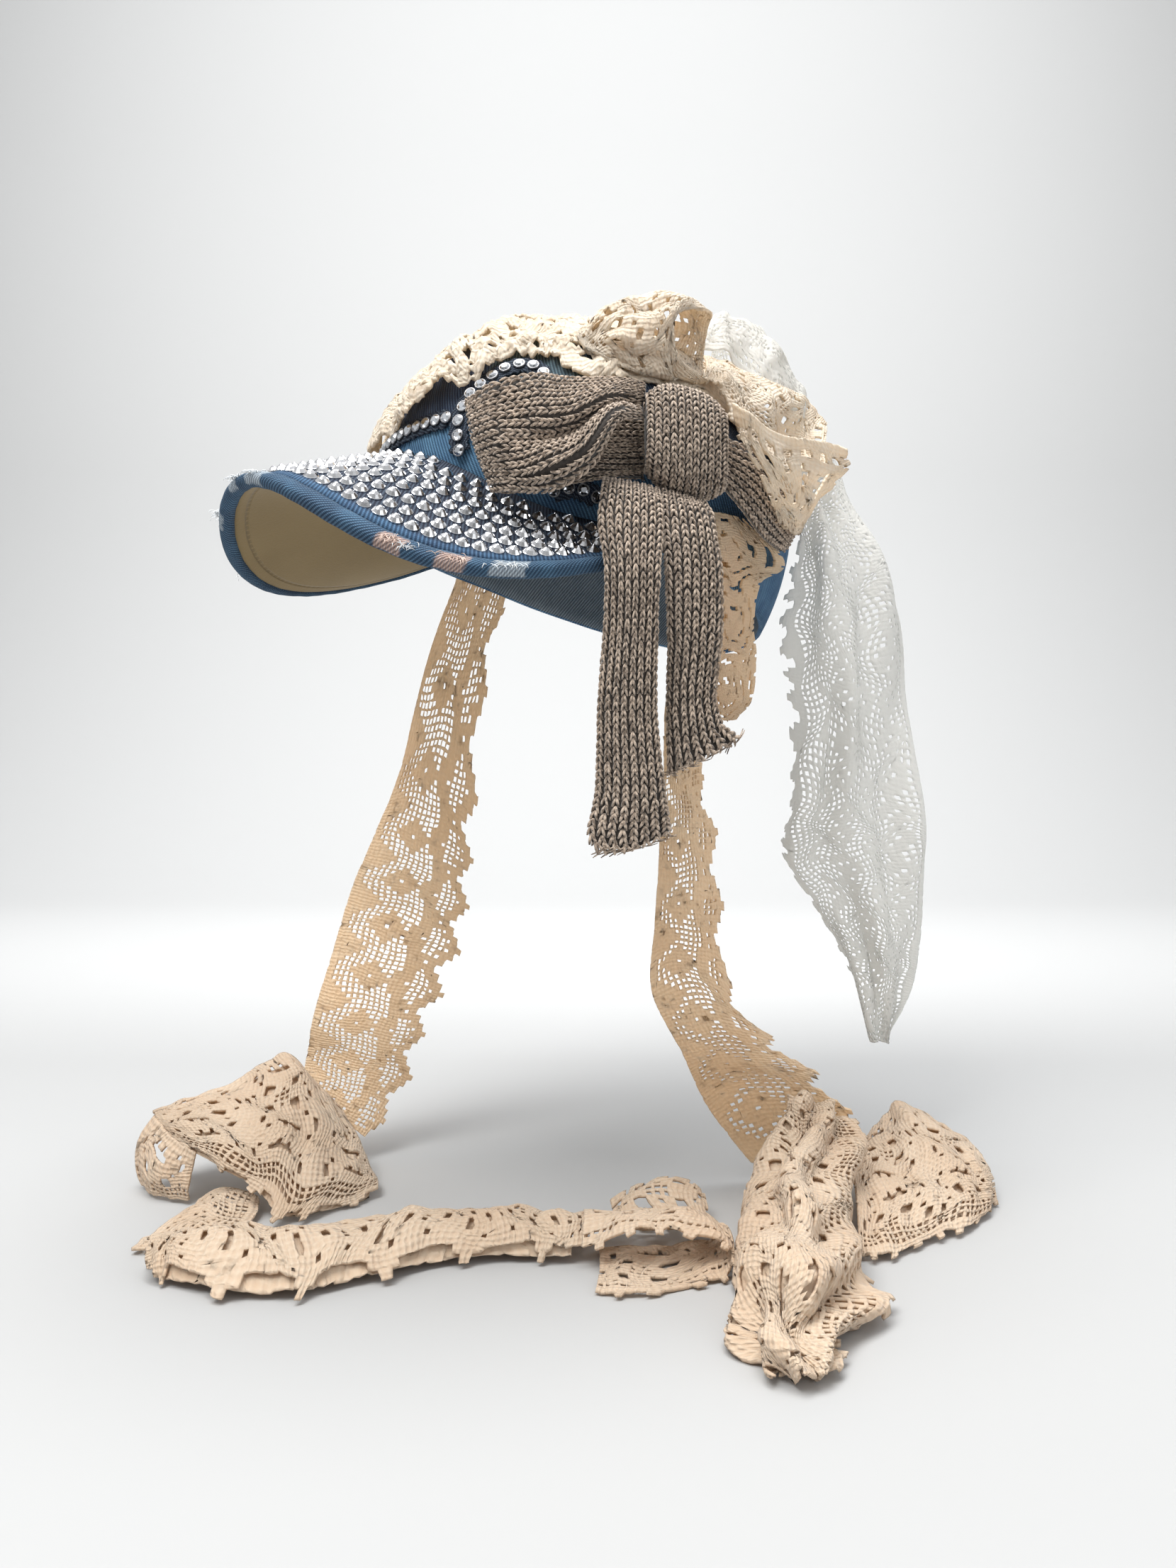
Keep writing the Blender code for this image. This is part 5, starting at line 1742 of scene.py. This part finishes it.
LOOP_TALL = 26.0
LIP_END, LIP_EASE = 0.30, 0.12
LIP_RIDGE, LIP_GROOVE, LIP_SOFT = 3.5, 12.0, 3.2


def front_loop(u, v):
    """The front loop, whose lower edge rolls outwards beside the knot."""
    place = band(LOOP_FRONT, Ripple(1.0, 3, 2), 5.8)(u, v)
    from_edge = (1 - np.asarray(u, float)) * LOOP_TALL
    share = np.clip((LIP_END + LIP_EASE - np.asarray(v, float)) / LIP_EASE, 0, 1)
    share = share * np.clip(v * 14, 0, 1)
    ridge, groove = (np.exp(-(((from_edge - a) / LIP_SOFT) ** 2)) for a in (LIP_RIDGE, LIP_GROOVE))
    return place + NEAR * ((4.5 * ridge - 7.0 * groove) * share * MM)[:, None]


knitted("bow_loop_front", crumpled(front_loop, Crumple(0.9, 3.0, 1.2, 11)), seed=11)
knitted("bow_loop_back", band(LOOP_BACK, FLAT, 7.4), seed=21)
tail = Crumple(0.5, 3.0, 0.8, 31)
knitted("bow_tail_long", crumpled(band(TAIL_LONG), tail), seed=31)
tail = tail._replace(seed=41)
knitted("bow_tail_short", crumpled(band(TAIL_SHORT), tail), seed=41)

# %% [markdown]
# The knot is the strip that holds the bow together, wound once round with its columns upright.
# It is a padded barrel, squarer than round, and pinched at both ends.

# %% The knot
KNOT_CENTRE = np.array([34.7, 91.0, 7.6])
KNOT_WIDE, KNOT_DEEP, KNOT_TALL = 15.5, 12.0, 19.2


def squared(c):
    """A sine or cosine pushed outwards, which turns an oval into a squarer one."""
    return np.abs(c) ** 0.76 * np.sign(c)


turns = -pi - np.linspace(0, 2 * pi, 721)
KNOT_OVAL = np.stack([KNOT_DEEP * squared(np.cos(turns)), KNOT_TALL * squared(np.sin(turns))], 1)
KNOT_RUN = run_length(KNOT_OVAL)


def knot_surface(u, v):
    """A place on the knot: u across it, v once round it from the back."""
    u, v = np.asarray(u, float), np.asarray(v, float)
    near, up = (np.interp(v * KNOT_RUN[-1], KNOT_RUN, KNOT_OVAL[:, k]) for k in (0, 1))
    side = 2 * u - 1
    waist = (1 - np.abs(side) ** 3) * 0.35 + 0.65
    across = KNOT_WIDE * side
    near = near * waist - 0.42 * across
    up = up * waist - 0.12 * across
    return lifted(from_side_frame(KNOT_CENTRE + np.stack([across, near, up], 1)), 4.3)


def build_knot():
    """The padded barrel and its stitches."""
    across, around = 16, 56
    u, v = crossings(np.linspace(0, 1, across + 1), np.arange(around) / around)
    faces = []
    for j in range(around):
        for i in range(across):
            a, b = j * (across + 1) + i, (j + 1) % around * (across + 1) + i
            faces.append((a, a + 1, b + 1, b))
    faces.append(tuple(j * (across + 1) for j in range(around)))
    faces.append(tuple(j * (across + 1) + across for j in range(around)))
    core = add_object("bow_knot_core", knot_surface(u, v), faces, WOOL_CORE_SHADE)
    face_out(core)
    place, out, along, scale = stitches_on(knot_surface, 11, 44, -1, 0.0, 51)
    stitches = set_copies("bow_knot_stitches", place, out, along, scale, STITCH, WOOL)
    for obj in (core, stitches):
        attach(obj, "root")
    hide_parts("bow_knot")
    print("bow_knot", triangles(core) + triangles(stitches), "triangles")


build_knot()
finish_pieces(STITCH)

# %% [markdown]
# ## Crochet on the cap
#
# A long crochet scarf lies over the top of the crown. In front it is pushed up into a ruffle, on
# top it is bunched into a bag whose mouth opens to the back, and behind the bow it falls over the
# nape in two folds. The cloth over the dome starts as flat squared paper. Each point keeps its
# distance and direction from the top of the dome, so the squares stay nearly square.

# %% The lace over the dome
BorderRow = namedtuple("BorderRow", "angle height ruffle")
LACE_BORDER = [BorderRow(*row) for row in (
    (-180, 18, 2), (-135, 6, 2), (-100, -14, 1), (-75, -8, 1), (-45, 6, 3), (-20, 10, 3),
    (2, 12, 4), (14, 23, 4), (28, 39, 3), (38, 41, 1.5), (46, 36, 0.5), (60, 36, 0.5),
    (80, 38, 0.5), (100, 34, 0.5), (125, 26, 0.5), (150, 20, 2), (180, 18, 2),
)]


def border_at(angle, column):
    """A column of the border's table, at angles in radians."""
    table = np.array(LACE_BORDER)
    return np.interp(np.degrees(angle), table[:, 0], table[:, column])


def dome_radius(angle):
    """Mean radius of the dome's arc from the top down, in this direction."""
    reach = 1 / np.hypot(np.cos(angle) / CROWN_HALF_LENGTH, np.sin(angle) / CROWN_HALF_WIDTH)
    return 0.5 * (reach + CROWN_HEIGHT)


def border_start(angle):
    """How far up the dome's arc the border lies, as an angle."""
    low = border_at(angle, 1)
    return np.arcsin(low / crown_tall(low))


DOME_CLOTH, DOME_CELL = 320.0, 2.8


def dome_lace(u, v):
    """Squared paper laid over the dome: u and v run over a square of 320 mm."""
    x, y = (np.asarray(a, float) * DOME_CLOTH - DOME_CLOTH / 2 for a in (u, v))
    angle, distance = np.arctan2(y, x), np.hypot(x, y)
    start = border_start(angle)
    bend = np.maximum(pi / 2 - distance / dome_radius(angle), start - 0.12)
    climb = np.clip((bend - start) / (pi / 2 - start), 0, 1)
    loose = (1 - climb) ** 1.5
    folds = np.sin(x * 0.21 + 1.5 * np.sin(y * 0.13)) * np.sin(y * 0.17 + 1.2 * np.sin(x * 0.11))
    front = np.exp(-((angle - 0.5) / 0.7) ** 2) * (1 - climb) ** 0.6
    fine = np.sin(x * 0.75 + 2.0 * np.sin(y * 0.31)) * np.sin(y * 0.68 + 2.0 * np.sin(x * 0.27))
    lift = 1.8 + loose * border_at(angle, 2) * (0.9 + 0.8 * np.sin(9 * angle))
    lift += (0.3 + 2.4 * front) * folds + (0.4 + 1.3 * front) * fine
    return crown_place(angle, crown_tall(bend) * np.sin(bend), np.maximum(lift, 1.5))


def dome_chart(count):
    """Roses in close cloth, inside the border only."""

    def chart(i, j):
        x, y = ((k + 0.5) / count * DOME_CLOTH - DOME_CLOTH / 2 for k in (i, j))
        angle = np.arctan2(y, x)
        inside = pi / 2 - np.hypot(x, y) / dome_radius(angle) - border_start(angle)
        if inside < 0:
            return "none"
        if inside < 0.03:
            return "full"
        return repeat(ROSE, i, j)

    return chart


dome_cells = int(DOME_CLOTH / DOME_CELL)
dome_cloth, dome_share = open_cloth(
    "lace_over_crown", dome_lace, (dome_cells, dome_cells), dome_chart(dome_cells), ECRU,
    bar=0.25, thickness=1.4,
)
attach(dome_cloth, "root")
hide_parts("lace_crown")
dome_area = dome_share * (DOME_CLOTH * MM) ** 2
print("lace_over_crown", round(dome_area * 1e4), "cm2,", triangles(dome_cloth), "triangles")

# %% [markdown]
# ### The bunched bag
#
# The scarf is gathered into a puffed bag on top. Its back end is folded open towards the bow, so
# one looks into a lit hollow where the holes show. The bag is a tube of cloth with pleats that
# run along it, and its mouth is cut at a slant.

# %% The bag on top
RosetteRing = namedtuple("RosetteRing", "across near up radius")
ROSETTE = [RosetteRing(*row) for row in (
    (-4, 69, 47, 4), (0, 69, 49, 9.5), (9, 69, 52, 14.5), (20, 68, 54, 17),
    (32, 66, 56, 17.5), (41, 65, 55, 15.5), (47, 64, 54.5, 13.0),
)]
MOUTH_SLANT = 21.0


def bag_surface(u, v):
    """A place on the bag: u round it, v from the gathered end to the mouth."""
    u, v = np.asarray(u, float), np.asarray(v, float)
    ring = smooth_between(ROSETTE, v)
    line = np.array(ROSETTE)[:, :3]
    after, before = (smooth_between(line, np.clip(v + step, 0, 1)) for step in (0.02, -0.02))
    tangent = unit(after - before)
    side = unit(np.cross(tangent, (0.0, 0.0, 1.0)))
    rise = np.cross(side, tangent)
    turn = 2 * pi * u
    pleat = 0.06 * np.sin(6 * turn + 3 * v) + 0.05 * np.sin(11 * turn - 6 * v + 2 * np.sin(9 * v))
    crease = 0.05 * np.sin(9 * turn + 14 * v + 3 * np.sin(5 * turn))
    crease = crease * np.sin(21 * v + 2 * np.sin(4 * turn))
    radius = ring[:, 3] * (1 + (pleat + crease) * (1.5 - 1.2 * v))
    spoke = side * (np.cos(turn) * 0.8 * radius)[:, None] + rise * (np.sin(turn) * radius)[:, None]
    facing = np.maximum(np.cos(turn - pi), 0.0)
    slant = MOUTH_SLANT * facing * v**3
    return lifted(from_side_frame(ring[:, :3] + spoke - tangent * slant[:, None]), 4.2)


bag_cells = (48, 28)


def bag_chart(i, j):
    """Roses on the bag, eyelets inside its mouth, and a plain rim."""
    if j > bag_cells[1] - 3:
        return "full"
    if j > 0.7 * bag_cells[1]:
        return "open" if (i + 2 * j) % 5 == 0 else "full"
    return repeat(ROSE, i, j)


bag, bag_share = open_cloth("lace_bag", bag_surface, bag_cells, bag_chart, ECRU, thickness=1.2)
declare(bag, "lace_rosette", "ecru_crochet", bag_surface, "gathered", ["lace_crown"], bag_share)

# %% [markdown]
# ### The folds behind the bow and at the ear
#
# The end of the scarf falls over the nape: an upper fold that hangs open like a pocket, and a
# front fold that tucks in behind the bow. Below it a little doily comes down over the ear, worked
# in rings with long dark holes.

# %% The drapes and the doily
DRAPE_TOP = sections(
    (46, 36, 61, 47, 47, 52, 43, 60, 41),
    (63, 24, 61, 58, 46, 49, 51, 64, 38),
    (86, -5, 63, 76, 28, 43, 57, 60, 22),
    (102, -20, 61, 90, 4, 41, 72, 38, 15),
    (113, -28, 53, 108, -6, 37, 104, 15, 16),
)
DRAPE_FRONT = sections(
    (52, 86, 22, 73, 79, 13, 108, 28, 22.3),
    (56, 89, 8, 78, 78, 4, 110, 29, 16),
    (64, 85, -4, 81, 66, -5, 101, 32, 6),
    (71, 72, -11, 82, 58, -12, 92, 37, -6),
    (78, 54, -16, 82, 50, -17, 86, 42, -16),
)
LACE_EAR = sections(
    (45, 72, -14, 52, 67, -13, 61, 60, -14),
    (44, 72, -27, 56, 62, -27, 83, 22, -24),
    (43, 74, -41, 55, 62, -39, 71, 38, -35),
    (42, 74, -57, 54, 64, -58, 66, 48, -54),
    (42, 72, -71, 54, 64, -70, 67, 50, -67),
    (43, 70, -85, 54, 63, -85, 65, 51, -85),
    (45, 67, -94, 52, 63, -95, 58, 55, -94),
)


UNDER_SHIFT = NEAR * 1.6 + np.array([0.0, 0.0, 2.2])
UNDER_CELL, UNDER_THICK = 5.0, 0.8


def under_layer(obj, surface, finish):
    """Join a closer worked second layer to a folded cloth, a little behind and below it."""

    def behind(u, v):
        place = surface(0.06 + 0.88 * np.asarray(u), 0.04 + 0.92 * np.asarray(v))
        place = place - UNDER_SHIFT * MM
        place[:, 2] = np.maximum(place[:, 2], (FLOOR + UNDER_THICK) * MM)
        return place

    lower, _ = open_cloth(obj.name + "_lower", behind, cells_for(surface, UNDER_CELL),
                          lambda i, j: "full", finish, thickness=UNDER_THICK)
    both = bmesh.new()
    both.from_mesh(obj.data)
    both.from_mesh(lower.data)
    both.to_mesh(obj.data)
    both.free()
    bpy.data.meshes.remove(lower.data)


def crochet(node, rows, chart_of, held, rests_on, ripple=FLAT, lift=None, crumple=SMOOTH,
            finish=ECRU, slot="ecru_crochet", cell=2.7, double=False, **thread):
    """A crochet cloth, cut through by its chart, then attached in place of its solid."""
    surface = crumpled(rows if callable(rows) else band(rows, ripple, lift), crumple)
    cells = cells_for(surface, cell)
    chart = chart_of(*cells)
    obj, share = open_cloth(node + "_cloth", surface, cells, chart, finish, **thread)
    if double:
        under_layer(obj, surface, finish)
    declare(obj, node, slot, surface, held, rests_on, share, 2 if double else 1)


def pocket(u, v):
    """The upper fold, hollow where the front fold hangs away from it."""
    hollow = 13.0 * np.exp(-(((u - 0.6) / 0.28) ** 2) - ((v - 0.78) / 0.2) ** 2)
    place = band(DRAPE_TOP, Ripple(2.5, 2, 0))(u, v) - NEAR * (hollow * MM)[:, None]
    return lifted(place, 3.0)


def front_fold(u, v):
    """The front fold, whose upper edge curls away from the cap as a lip."""
    curl = 7.5 * np.exp(-((v / 0.12) ** 2)) * (0.8 + 0.4 * np.sin(9 * u + 1))
    return band(DRAPE_FRONT, Ripple(2.0, 1, 1), 5.0)(u, v) + NEAR * (curl * MM)[:, None]


def lip_lace(across, along):
    """A plain lip, a row of wide holes under it, then roses."""

    def chart(i, j):
        if min(i, across - 1 - i) == 0:
            return "none" if j % 3 == 2 else "full"
        if 2 <= j < 4:
            return "hole" if i % 3 else "full"
        return "full" if j < 2 else repeat(ROSE, i, j)

    return chart


crochet("lace_drape_top", pocket, tabbed(ROSE, 7, 1, 4), "hung", ["lace_crown"],
        crumple=Crumple(1.8, 3.0, 2.0, 3))
crochet("lace_drape_front", front_fold, lip_lace, "hung", ["lace_drape_top"],
        crumple=Crumple(1.5, 2.5, 2.0, 4))
crochet("lace_ear", LACE_EAR, doily, "hung", ["crown"], lift=3.5,
        crumple=Crumple(0.5, 3.0, 1.5, 5), finish=TIE_ECRU, cell=1.6, bend=0.5)

# %% [markdown]
# ## The two ties
#
# From each temple a long crochet tie hangs to the surface below. Its pattern is a row of diamonds
# in an open net, with a scalloped edge on the outer side. It is seen against the light, so the
# holes matter more than the threads.

# %% The ties
TIE_NEAR = sections(
    (44, 70, -20, 52, 62, -20, 60, 54, -20),
    (36, 70, -52, 46, 63, -51, 56, 52, -49),
    (29, 70, -85, 39, 65, -85, 50, 54, -84),
    (28, 66, -118, 36, 64, -117, 45, 52, -116),
    (27, 58, -145, 38, 62, -144, 51, 50, -141),
    (26, 50, -177, 40, 56, -175, 55, 44, -179),
    (25, 42, -208, 43, 50, -202, 62, 38, -216),
    (38, 34, -234, 57, 42, -229, 86, 30, -235),
    (50, 24, -261, 76, 32, -250, 110, 22, -259),
    (71, 9, -290, 94, 11.6, -285, 126, -4.6, -281.6),
)
TIE_FAR = sections(
    (-65, -48, -12, -54, -59.5, -12, -40, -72, -12),
    (-83, -51, -60, -68, -57, -61, -52, -64, -60),
    (-97, -52, -115, -78, -48, -115, -58, -54, -129),
    (-109, -50, -147, -83, -45, -154, -60, -52, -164),
    (-120, -47, -174, -89, -42, -181, -63, -50, -193),
    (-128, -43, -202, -99, -38, -209, -71, -46, -219),
    (-136, -40, -233, -107, -35, -237, -82, -42, -243),
    (-140, -37, -255, -113, -32, -260, -90, -38, -268),
    (-142, -24, -276, -122, -24, -281, -106, -25, -292),
)
tie = dict(ripple=Ripple(2, 3, 0), finish=TIE_ECRU, cell=2.6, bar=0.14, bend=0.3)
crochet("tie_near", TIE_NEAR, edging_lace, "hung", ["crown", "heap_near_fan"],
        lift=1.3, crumple=Crumple(0.8, 5.0, 1.0, 7), **tie)
crochet("tie_far", TIE_FAR, edging_lace, "hung", ["crown", "heap_far_panel"],
        lift=1.0, crumple=Crumple(0.8, 5.0, 1.0, 8), **tie)

# %% [markdown]
# ## The ends of the ties, lying in folds
#
# Where the ties reach the surface they fold over on themselves. On the left a panel slopes down
# to a rolled fold. A long strip with one big loop lies across the front, and on the right the
# cloth fans out and crumples. The broad folds get a second, closer layer just under the first.

# %% The heap on the left
FOLD = Ripple(2.5, 2, 1)
heap = dict(finish=PEACH, double=True)
HEAP_FAR_PANEL = sections(
    (-197, 10, -267, -192, 16, -270, -186, 22, -274),
    (-183, -8, -265, -169, 22, -268, -161, 38, -281),
    (-161, -16, -257, -143, 28, -267, -143, 50, -289),
    (-144, -19.6, -247.6, -126, 22, -270, -129, 58, -298),
    (-128, -22, -268, -109, 14, -282, -113, 52, -298),
    (-111, -22, -293, -100, 5, -293, -92, 32, -298),
)
HEAP_FAR_ROLL = sections(
    (-195, 12, -268, -203, 12, -284, -199, 16, -298),
    (-184, 24, -273, -190, 28, -287, -188, 28, -298),
    (-170, 32, -278, -172, 34, -290, -172, 34, -298),
)
HEAP_FAR_FOLD = sections(
    (-165, 34, -296, -154, 36, -292, -142, 36, -296),
    (-168, 48, -297, -154, 52, -293, -138, 54, -297),
    (-174, 68, -298, -158, 70, -296, -142, 72, -298),
    (-176, 86, -298, -160, 87, -297, -142, 88, -298),
)
crochet("heap_far_panel", HEAP_FAR_PANEL, tabbed(ROSE, 3, 2), "folded", ["tie_far"],
        FOLD, crumple=Crumple(3.0, 3.0, 2.0, 12), **heap)
crochet("heap_far_roll", HEAP_FAR_ROLL, tabbed(ROSE, 2, 0), "folded", ["heap_far_panel"],
        crumple=Crumple(1.2, 2.0, 1.0, 13), finish=PEACH)
crochet("heap_far_fold", HEAP_FAR_FOLD, tabbed(LEAF, 2, 0), "laid", ["heap_far_panel"],
        crumple=Crumple(1.5, 2.0, 1.0, 18), finish=PEACH)

# %% [markdown]
# The strip in front lies nearly flat. Its loop turns back under itself, and a short flap leans
# on the loop. Each of the three is a cloth of its own, so that each can keep its own pattern.

# %% The strip on the floor
FLOOR_STRIP = sections(
    (-166, 98, -298, -163, 104, -290, -160, 110, -298),
    (-159, 89, -298, -151, 101, -285, -150, 118, -298),
    (-135, 90, -298, -125, 102, -283, -119, 130, -298),
    (-110, 88, -298, -101, 101, -284, -98, 126, -298),
    (-79, 78, -298, -74, 89, -283, -74, 112, -298),
    (-49, 70, -298, -47, 83, -284, -47, 98, -298),
    (-27, 68, -298, -24, 82, -284, -23, 97, -298),
    (-3.0, 69, -298, -2.0, 83, -286.5, -3.0, 99, -297),
)
STRIP_LOOP = sections(
    (-4.6, 69, -297, -3.6, 84, -285, -4.6, 100, -294),
    (16, 67, -297, 18, 86, -283, 16, 106, -284),
    (36, 67, -297, 38, 86, -283, 34, 108, -284),
    (49, 70, -297, 51, 88, -290, 50, 108, -291),
    (42, 78, -298, 43, 94, -297, 45, 113, -298),
    (23, 82, -298, 20, 104, -298, 16, 124, -298),
    (2, 84, -298, 2, 104, -298, 0, 123, -298),
)
STRIP_FLAP = sections(
    (7, 50, -292, 8, 56, -295, 10, 65, -298),
    (20, 45, -287, 21, 53, -290, 23, 65.5, -298),
    (37, 44, -285, 37, 52, -289, 39, 65.6, -298),
    (46, 47, -290, 47, 55, -293, 47, 66, -298),
)
crochet("floor_strip", FLOOR_STRIP, tabbed(SLOTS, 0, 2, 10), "laid", ["heap_far_fold"],
        crumple=Crumple(2.5, 6.0, 2.0, 14), **heap)
crochet("floor_strip_loop", STRIP_LOOP, tabbed(ROSE, 1, 1, 4), "folded", ["floor_strip"],
        crumple=Crumple(1.8, 4.0, 2.0, 15), finish=PEACH)
crochet("floor_strip_flap", STRIP_FLAP, plain(ROSE), "laid", ["floor_strip_loop"],
        crumple=Crumple(1.2, 2.0, 1.0, 19), finish=PEACH)

# %% [markdown]
# On the right the near tie spreads into a fan, and in front of it a wide fold hangs in long
# pleats that end in a tight ruffle.

# %% The heap on the right
HEAP_NEAR_FAN = sections(
    (114.4, 6, -284, 107, 52, -284, 99.6, 94, -298),
    (131, -4, -278, 122, 50, -285, 114, 92, -298),
    (143, -10, -269, 142, 40, -280, 138, 74, -298),
    (161, -4, -277, 160, 33, -283, 160, 53, -298),
    (175, 8, -287, 174, 24, -291, 172, 37, -298),
)
HEAP_NEAR_FRONT = sections(
    (83, 36, -252, 94, 42, -253, 106, 38, -262),
    (76, 42, -264, 91, 54, -261, 112, 46, -271),
    (67, 48, -282, 83, 72, -265, 106, 60, -280),
    (60, 66, -296, 75, 92, -268, 101, 78, -292),
    (53.3, 96, -298, 71, 122, -268, 98, 98, -298),
    (50, 130, -298, 64, 147, -272, 96, 136, -298),
    (46, 155, -298, 59, 168, -284, 81, 156, -298),
    (55, 176, -298, 62, 183, -297, 71, 174, -298),
)


def front_folds(u, v):
    """Long pleats from the tie down, and a tight ruffle at the end."""
    pleats = 3.6 * np.sin(2 * pi * (2.6 * u + 0.5 * np.sin(4 * v))) * np.clip(1.5 - 1.4 * v, 0.3, 1)
    ruffle = np.sin(2 * pi * (1.5 * u + 4.2 * v) + 3 * np.sin(7 * u)) * np.clip(3 * v - 1.2, 0, 1)
    return pleats + 4.5 * ruffle


crochet("heap_near_fan", HEAP_NEAR_FAN, tabbed(ROSE, 3, 1, 4), "folded", ["tie_near"],
        FOLD, crumple=Crumple(3.0, 3.0, 2.0, 16), **heap)
crochet("heap_near_front", pushed(band(HEAP_NEAR_FRONT), front_folds), tabbed(ROSE, 4, 1, 4),
        "folded", ["heap_near_fan"], crumple=Crumple(1.6, 6.0, 3.0, 17), **heap)

# %% [markdown]
# ## The white lace
#
# Behind the scarf a piece of fine white lace puffs up over the back of the crown and hangs down in
# a long tail. Its thread is far thinner than the crochet's, and its net is finer.

# %% White lace
PUFF = sections(
    (44, 22, 70, 54, 0, 93, 56, -30, 78),
    (61, 12, 70, 63, -5, 95, 68, -40, 74),
    (75, 4, 58, 80, -14, 92, 83, -48, 69),
    (88, -6, 55, 91, -20, 81, 96, -50, 63),
    (99, -14, 50, 102, -26, 68, 105, -46, 58),
)
TAIL_WHITE = sections(
    (92, -18, 36, 105, -28, 38, 119, -36, 40),
    (94, -18, 9, 110, -22, 11, 126, -34, 18),
    (96, -20, -18, 115, -12, -16, 143, -36, -11),
    (93, -24, -49, 117, -12, -49, 153, -38, -45),
    (97, -26, -84, 121, -14, -85, 153, -38, -84),
    (95, -28, -129, 121, -16, -129, 158, -38, -129),
    (90, -30, -153, 122, -18, -155, 160, -38, -160),
    (108, -30, -182, 131, -22, -186, 159, -36, -195),
    (123, -30, -211, 137, -26, -214, 155, -34, -218),
    (133, -30, -242, 138, -30, -245, 144, -32, -244),
)


def tail_folds(u, v):
    """Long soft folds that fan out as they fall."""
    return 3.2 * np.sin(2 * pi * (2.3 * u - 0.8 * v)) + 1.4 * np.sin(2 * pi * (3.7 * u + 2.1 * v))


white = dict(finish=WHITE, slot="white_lace", cell=2.4, bar=0.30, thickness=0.5)
crochet("white_lace_puff", PUFF, tabbed(LEAF, 2, 1, 4), "draped", ["lace_crown"],
        Ripple(2.5, 2, 0), lift=5.2, crumple=Crumple(3.2, 2.5, 2.5, 22), **white)
crochet("white_lace_tail", pushed(band(TAIL_WHITE, Ripple(3, 2, 1), 5.6), tail_folds),
        turned_over(tabbed(LEAF, 4, 2, 5)), "hung", ["crown"],
        crumple=Crumple(2.2, 2.0, 3.5, 23), **white)

# %% [markdown]
# ## The whole cap
#
# Last, the box round all that was built is measured, set beside the box of the solids, and printed
# with the count of triangles.

# %% Measure and finish
bpy.context.view_layer.update()
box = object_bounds()
sizes = {
    "cad": [[float(c) for c in corner] for corner in cad_box],
    "visual": [[float(c) for c in corner] for corner in box],
}
print("box", corners(box))
dressed = [o for o in bpy.data.objects if o.type == "MESH" and not o.name.startswith("backdrop")]
print("triangles in all", sum(triangles(o) for o in dressed))
